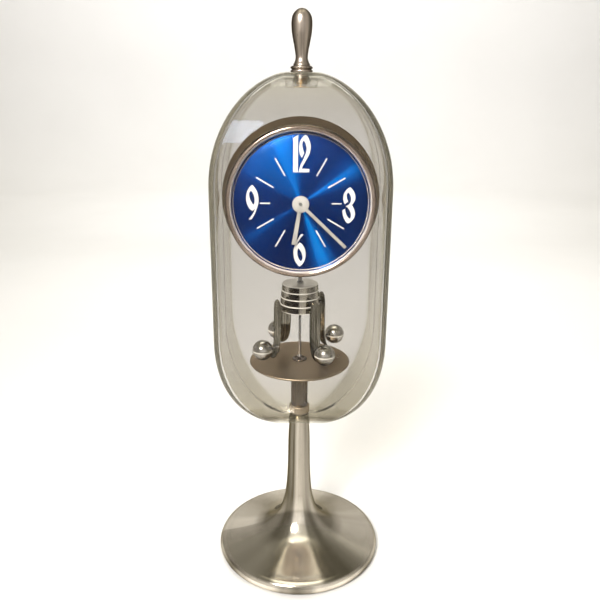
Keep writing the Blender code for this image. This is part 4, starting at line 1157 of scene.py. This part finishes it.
def screw_parts(shank, head, tip, under, top, where):
    """A slotted cheese-head screw; heights fall from its tip to its head."""
    notch, deep = head * 0.14, (under - top) * 0.45
    outline = arc((0, 0), head, 8, 172, 24)
    halves = []
    for side in (1, -1):
        edge = [(x, side * max(y, notch)) for x, y in outline]
        halves.append(plate("half", [edge], top, top + deep, STEEL, where, 0.12 * head / 1.4))
    body = lathe("shank", [(0, tip), (shank * 0.8, tip), (shank, tip - 0.2), (shank, under),
        (head, under), (head, top + deep), (0, top + deep)], STEEL, where, 48)
    return [body, *halves]


def motion_work():
    where = dial_axis()
    tube = [(0.9, 30.6), (1.15, 30.6), (1.25, 30.5), (1.25, 23.7), (0.9, 23.7)]
    parts = [lathe("tube", tube, STEEL, where, 40), plate("leaves", [toothed_edge(2.1, 12, 0.6),
        ring_points(0.9, 24)], 22.8, 23.7, STEEL, where)]
    settle(join("cannon_tube", parts), "minute_hand_set", "steel", "cannon_pinion")
    pipe = [(1.55, 29), (1.9, 29), (2, 28.9), (2, 24.6), (1.55, 24.6)]
    parts = [lathe("pipe", pipe, BRASS, where, 40), plate("teeth", [toothed_edge(6.5, 40, 0.6),
        ring_points(1.9, 24)], 24.6, 25.4, BRASS, where)]
    settle(join("hour_pipe", parts), "hour_hand_set", "brass", "hour_wheel")
    idler = dial_axis(*node_at("minute_wheel"))
    stud = [(0, 26.2), (0.8, 26.2), (0.8, 23.3), (1, 23.3), (1, 22.75), (0.45, 22.75), (0.45, 21.5),
        (0, 21.4)]
    parts = [lathe("stud", stud, STEEL, idler, 32), plate("leaves", [toothed_edge(1.7, 10, 0.55),
        ring_points(0.7, 20)], 23.4, 26.1, BRASS, idler), plate("teeth", [toothed_edge(6, 36, 0.6),
        ring_points(0.9, 20)], 22.9, 23.6, BRASS, idler)]
    settle(join("idler_wheel", parts), "minute_wheel_set", "brass", "minute_wheel")


def plates():
    x, z = 22, 32
    outline = rounded(x, z, 4, 10)
    shared = [ring_points(0.75, 24, at) for at in (INTERMEDIATE_AT, THIRD_AT, ESCAPE_AT)]
    shared.append(ring_points(1.2, 24))
    front = [ring_points(0.9, 24, ANCHOR_AT), ring_points(1.9, 32, BARREL_AT),
        ring_points(0.8, 20, MINUTE_WHEEL_AT)]
    front += [ring_points(2.1, 32, (sx * x, sz * z)) for sx in (-1, 1) for sz in (-1, 1)]
    back = [ring_points(1.6, 24, ANCHOR_AT), ring_points(2.9, 40, BARREL_AT)]
    settle(plate("movement_front", [outline, *shared, *front], 21, 22.5, BRASS, dial_axis(), 0.2),
        "stand", "brass", "front_plate")
    settle(plate("movement_back", [outline, *shared, *back], 6, 7.5, BRASS, dial_axis(), 0.2), "stand",
        "brass", "back_plate")
    for number in range(1, 5):
        node = f"plate_pillar_{number}"
        profile = [(0, 25.3), (1.4, 25.3), (1.7, 25), (1.7, 20.7), (2.3, 20.7), (2.4, 20.5), (2.4, 19.6),
            (2.1, 19.3), (1.9, 18.6), (1.8, 14.2), (1.9, 9.9), (2.1, 9.2), (2.4, 8.9), (2.4, 8),
            (2.3, 7.8), (0, 7.8)]
        settle(lathe(f"pillar_{number}", profile, BRASS, dial_axis(*node_at(node)), 40), "stand", "brass",
            node)
    for number in (1, 2):
        node = f"support_post_{number}"
        where = dial_axis(*node_at(node))
        near, far = -lowest(node, "y"), -highest(node, "y")
        profile = [(0, near), (2.3, near), (2.5, near - 0.2), (2.5, near - 2), (2.2, near - 2.3),
            (2.2, far + 2.3), (2.5, far + 2), (2.5, far + 0.2), (2.3, far), (0, far)]
        settle(lathe(f"post_{number}", profile, POST, where, 48), "stand", "satin_nickel", node)
        node = f"support_screw_{number}"
        tip, top = -lowest(node, "y"), -highest(node, "y")
        settle(join(f"screw_{number}", screw_parts(1.6, 3.4, tip, top + 1.9, top, where)), "stand",
            "steel", node)


def escapement():
    reach, clear, outer = -9.5, 7.9, 9.4
    start, stop, steps = 42, 138, 24
    belly = [clear + 0.45 * math.sin(math.pi * i / steps) ** 0.5 for i in range(steps + 1)]
    swing = [math.radians(start + (stop - start) * i / steps) for i in range(steps + 1)]
    outline = arc((0, reach), outer, start, stop, steps)
    outline += [(r * math.cos(a), reach + r * math.sin(a)) for r, a in zip(belly, reversed(swing))]
    where = dial_axis(*ANCHOR_AT)
    shaft = [(0, 22.2), (0.5, 22.1), (0.5, 20.4), (1, 20.3), (1, 18.4), (1.3, 18.3), (1.3, 15.7),
        (1, 15.6), (1, 4.1), (0.8, 3.9), (0, 3.9)]
    pin_low = DIAL_HEIGHT / MM + ANCHOR_AT[1]
    pin_high = pin_low + 9.3
    pin = [(0, pin_high), (0.25, pin_high), (0.4, pin_high - 0.2), (0.4, pin_low), (0, pin_low)]
    parts = [plate("yoke", [outline], 16.3, 17.7, STEEL, where, 0.15), lathe("shaft", shaft, STEEL, where,
        32), lathe("pin", pin, STEEL, Matrix.Translation((0, -4.6 * MM, 0)), 16)]
    settle(join("pallet_yoke", parts), "anchor_arbor", "steel", "anchor")


def suspension():
    low = DIAL_HEIGHT / MM
    legs = [(-7.6, 25), (-4.4, 25), (-4, 25.4), (-4, 39.2), (-3.2, 40), (3.2, 40), (4, 39.2), (4, 25.4),
        (4.4, 25), (7.6, 25), (8, 25.4), (8, 43.2), (7.2, 44), (-7.2, 44), (-8, 43.2), (-8, 25.4)]
    parts = [plate("legs", [legs], 4.5, 5.7, BRASS, dial_axis(), 0.15),
        bevelled_box("shelf", (-4, -5, low + 42.2), (4, 3, low + 43.8), BRASS, 0.3)]
    settle(join("hanger", parts), "stand", "brass", "suspension_bracket")
    block = bevelled_box("spring_clamp", (-2.2, -2.6, low + 38.4), (2.2, 2.6, low + 40), BRASS, 0.3)
    settle(block, "stand", "brass", "top_block")
    top, bottom = low + 36.3, 217.4
    rows = 64
    work = bmesh.new()
    half, thin = 0.6, 0.06
    rings = []
    for i in range(rows + 1):
        z = bottom + (top - bottom) * i / rows
        rings.append([work.verts.new(Vector((x, y, z)) * MM) for x, y in ((-half, -thin), (half, -thin),
            (half, thin), (-half, thin))])
    for a, b in zip(rings, rings[1:]):
        for k in range(4):
            work.faces.new([a[k], a[(k + 1) % 4], b[(k + 1) % 4], b[k]])
    work.faces.new(rings[0])
    work.faces.new(rings[-1])
    ribbon = from_bmesh("torsion_ribbon", work, STEEL)
    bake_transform(ribbon)
    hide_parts("suspension_spring")
    prongs = [(-2, 1.4), (-2, -5.2), (-1.8, -5.4), (-1.4, -5.4), (-1.2, -5.2), (-1.2, -1.8), (-0.8, -1.4),
        (0.8, -1.4), (1.2, -1.8), (1.2, -5.2), (1.4, -5.4), (1.8, -5.4), (2, -5.2), (2, 1.4), (1.8, 1.6),
        (-1.8, 1.6)]
    slot = [(-0.9, -0.45), (0.9, -0.45), (0.9, 0.45), (-0.9, 0.45)]
    fork = plate("crutch_fork", [prongs, slot], lowest("fork"), highest("fork"), BRASS, bevel=0.12)
    settle(fork, "fork_block", "brass", "fork")


# ---- stage, lights and camera

def stage():
    """A round floor that turns up into a wall all the way round."""
    radius, bend, height = 2600, 500, 1900
    profile = [(0, 0), (300, 0), (radius - bend, 0)]
    profile += arc((radius - bend, bend), bend, -90, 0, 16)
    profile += [(radius, height)]
    work = bmesh.new()
    turn_into(work, profile, AXIS_UP, 96)
    mesh = bpy.data.meshes.new("stage_floor")
    work.to_mesh(mesh)
    work.free()
    paper = mottled("stage_paper", (0.8, 0.79, 0.785), 0.75, (3,), (0.79, 0.78, 0.775),
        (0.82, 0.81, 0.805)).material
    finished("stage_floor", mesh, paper, 60)


def world():
    """Warm-grey room, a little more olive higher up, with a bright ceiling."""
    room = bpy.data.worlds.new("room")
    room.use_nodes = True
    nodes, links = room.node_tree.nodes, room.node_tree.links
    where = nodes.new("ShaderNodeTexCoord").outputs["Generated"]
    parts = nodes.new("ShaderNodeSeparateXYZ")
    links.new(where, parts.inputs[0])
    shade = nodes.new("ShaderNodeValToRGB")
    for element, spot, colour in zip(shade.color_ramp.elements, (0, 0.9), ((0.44, 0.42, 0.39, 1),
            (0.38, 0.365, 0.3, 1))):
        element.position = spot
        element.color = colour
    ceiling = nodes.new("ShaderNodeMapRange")
    for key, value in (("From Min", 0.9), ("From Max", 0.96), ("To Min", 1), ("To Max", 4)):
        ceiling.inputs[key].default_value = value
    for node, key in ((shade, "Color"), (ceiling, "Strength")):
        links.new(parts.outputs[2], node.inputs[0])
        links.new(node.outputs[0], nodes["Background"].inputs[key])
    bpy.context.scene.world = room


def softbox(name, place, target, size, power, spread, colour=(1, 1, 1), mirrored=True):
    lamp = bpy.data.lights.new(name, "AREA")
    lamp.shape = "RECTANGLE"
    lamp.size, lamp.size_y = size
    lamp.energy = power
    lamp.color = colour
    lamp.spread = math.radians(spread)
    holder = bpy.data.objects.new(name, lamp)
    holder.location = place
    holder.visible_glossy = mirrored
    aim = Vector(target) - Vector(place)
    holder.rotation_euler = aim.to_track_quat("-Z", "Y").to_euler()
    bpy.context.scene.collection.objects.link(holder)


def lights():
    focus = (0, 0.05, 0.18)
    softbox("key", (-0.34, -0.85, 0.93), focus, (0.36, 0.42), 2.5, 60, (1, 0.97, 0.94))
    softbox("top", (0, 0.8, 1.7), (0, 0.8, 0), (1.4, 1), 5.5, 80, mirrored=False)
    softbox("back", (0, 1.3, 1.3), (0, 2.6, 0.5), (1.6, 0.6), 13, 140)
    softbox("front", (0, -1.25, 1.2), (0, -2.6, 0.3), (2, 0.5), 11, 140)
    bpy.context.scene.view_settings.view_transform = "Standard"


def camera():
    lens = bpy.data.cameras.new("photo_view")
    lens.sensor_width = 36
    lens.lens = CAMERA_LENS
    lens.clip_start = 0.01
    view = bpy.data.objects.new("photo_view", lens)
    tilt = Matrix.Rotation(math.radians(90 - CAMERA_PITCH), 4, "X")
    roll = Matrix.Rotation(math.radians(CAMERA_ROLL), 4, "Z")
    view.matrix_world = Matrix.Translation((0, -CAMERA_BACK, CAMERA_HEIGHT)) @ tilt @ roll
    bpy.context.scene.collection.objects.link(view)
    bpy.context.scene.camera = view


pedestal()
tie_rod()
post_and_platform()
case()
clamp_and_finial()
housing_and_bezel()
crystal()
dial()
hands()
plates()
going_train()
spring_barrel()
motion_work()
escapement()
suspension()
drum()
arms()
balls()
spindle()
stage()
world()
lights()
camera()
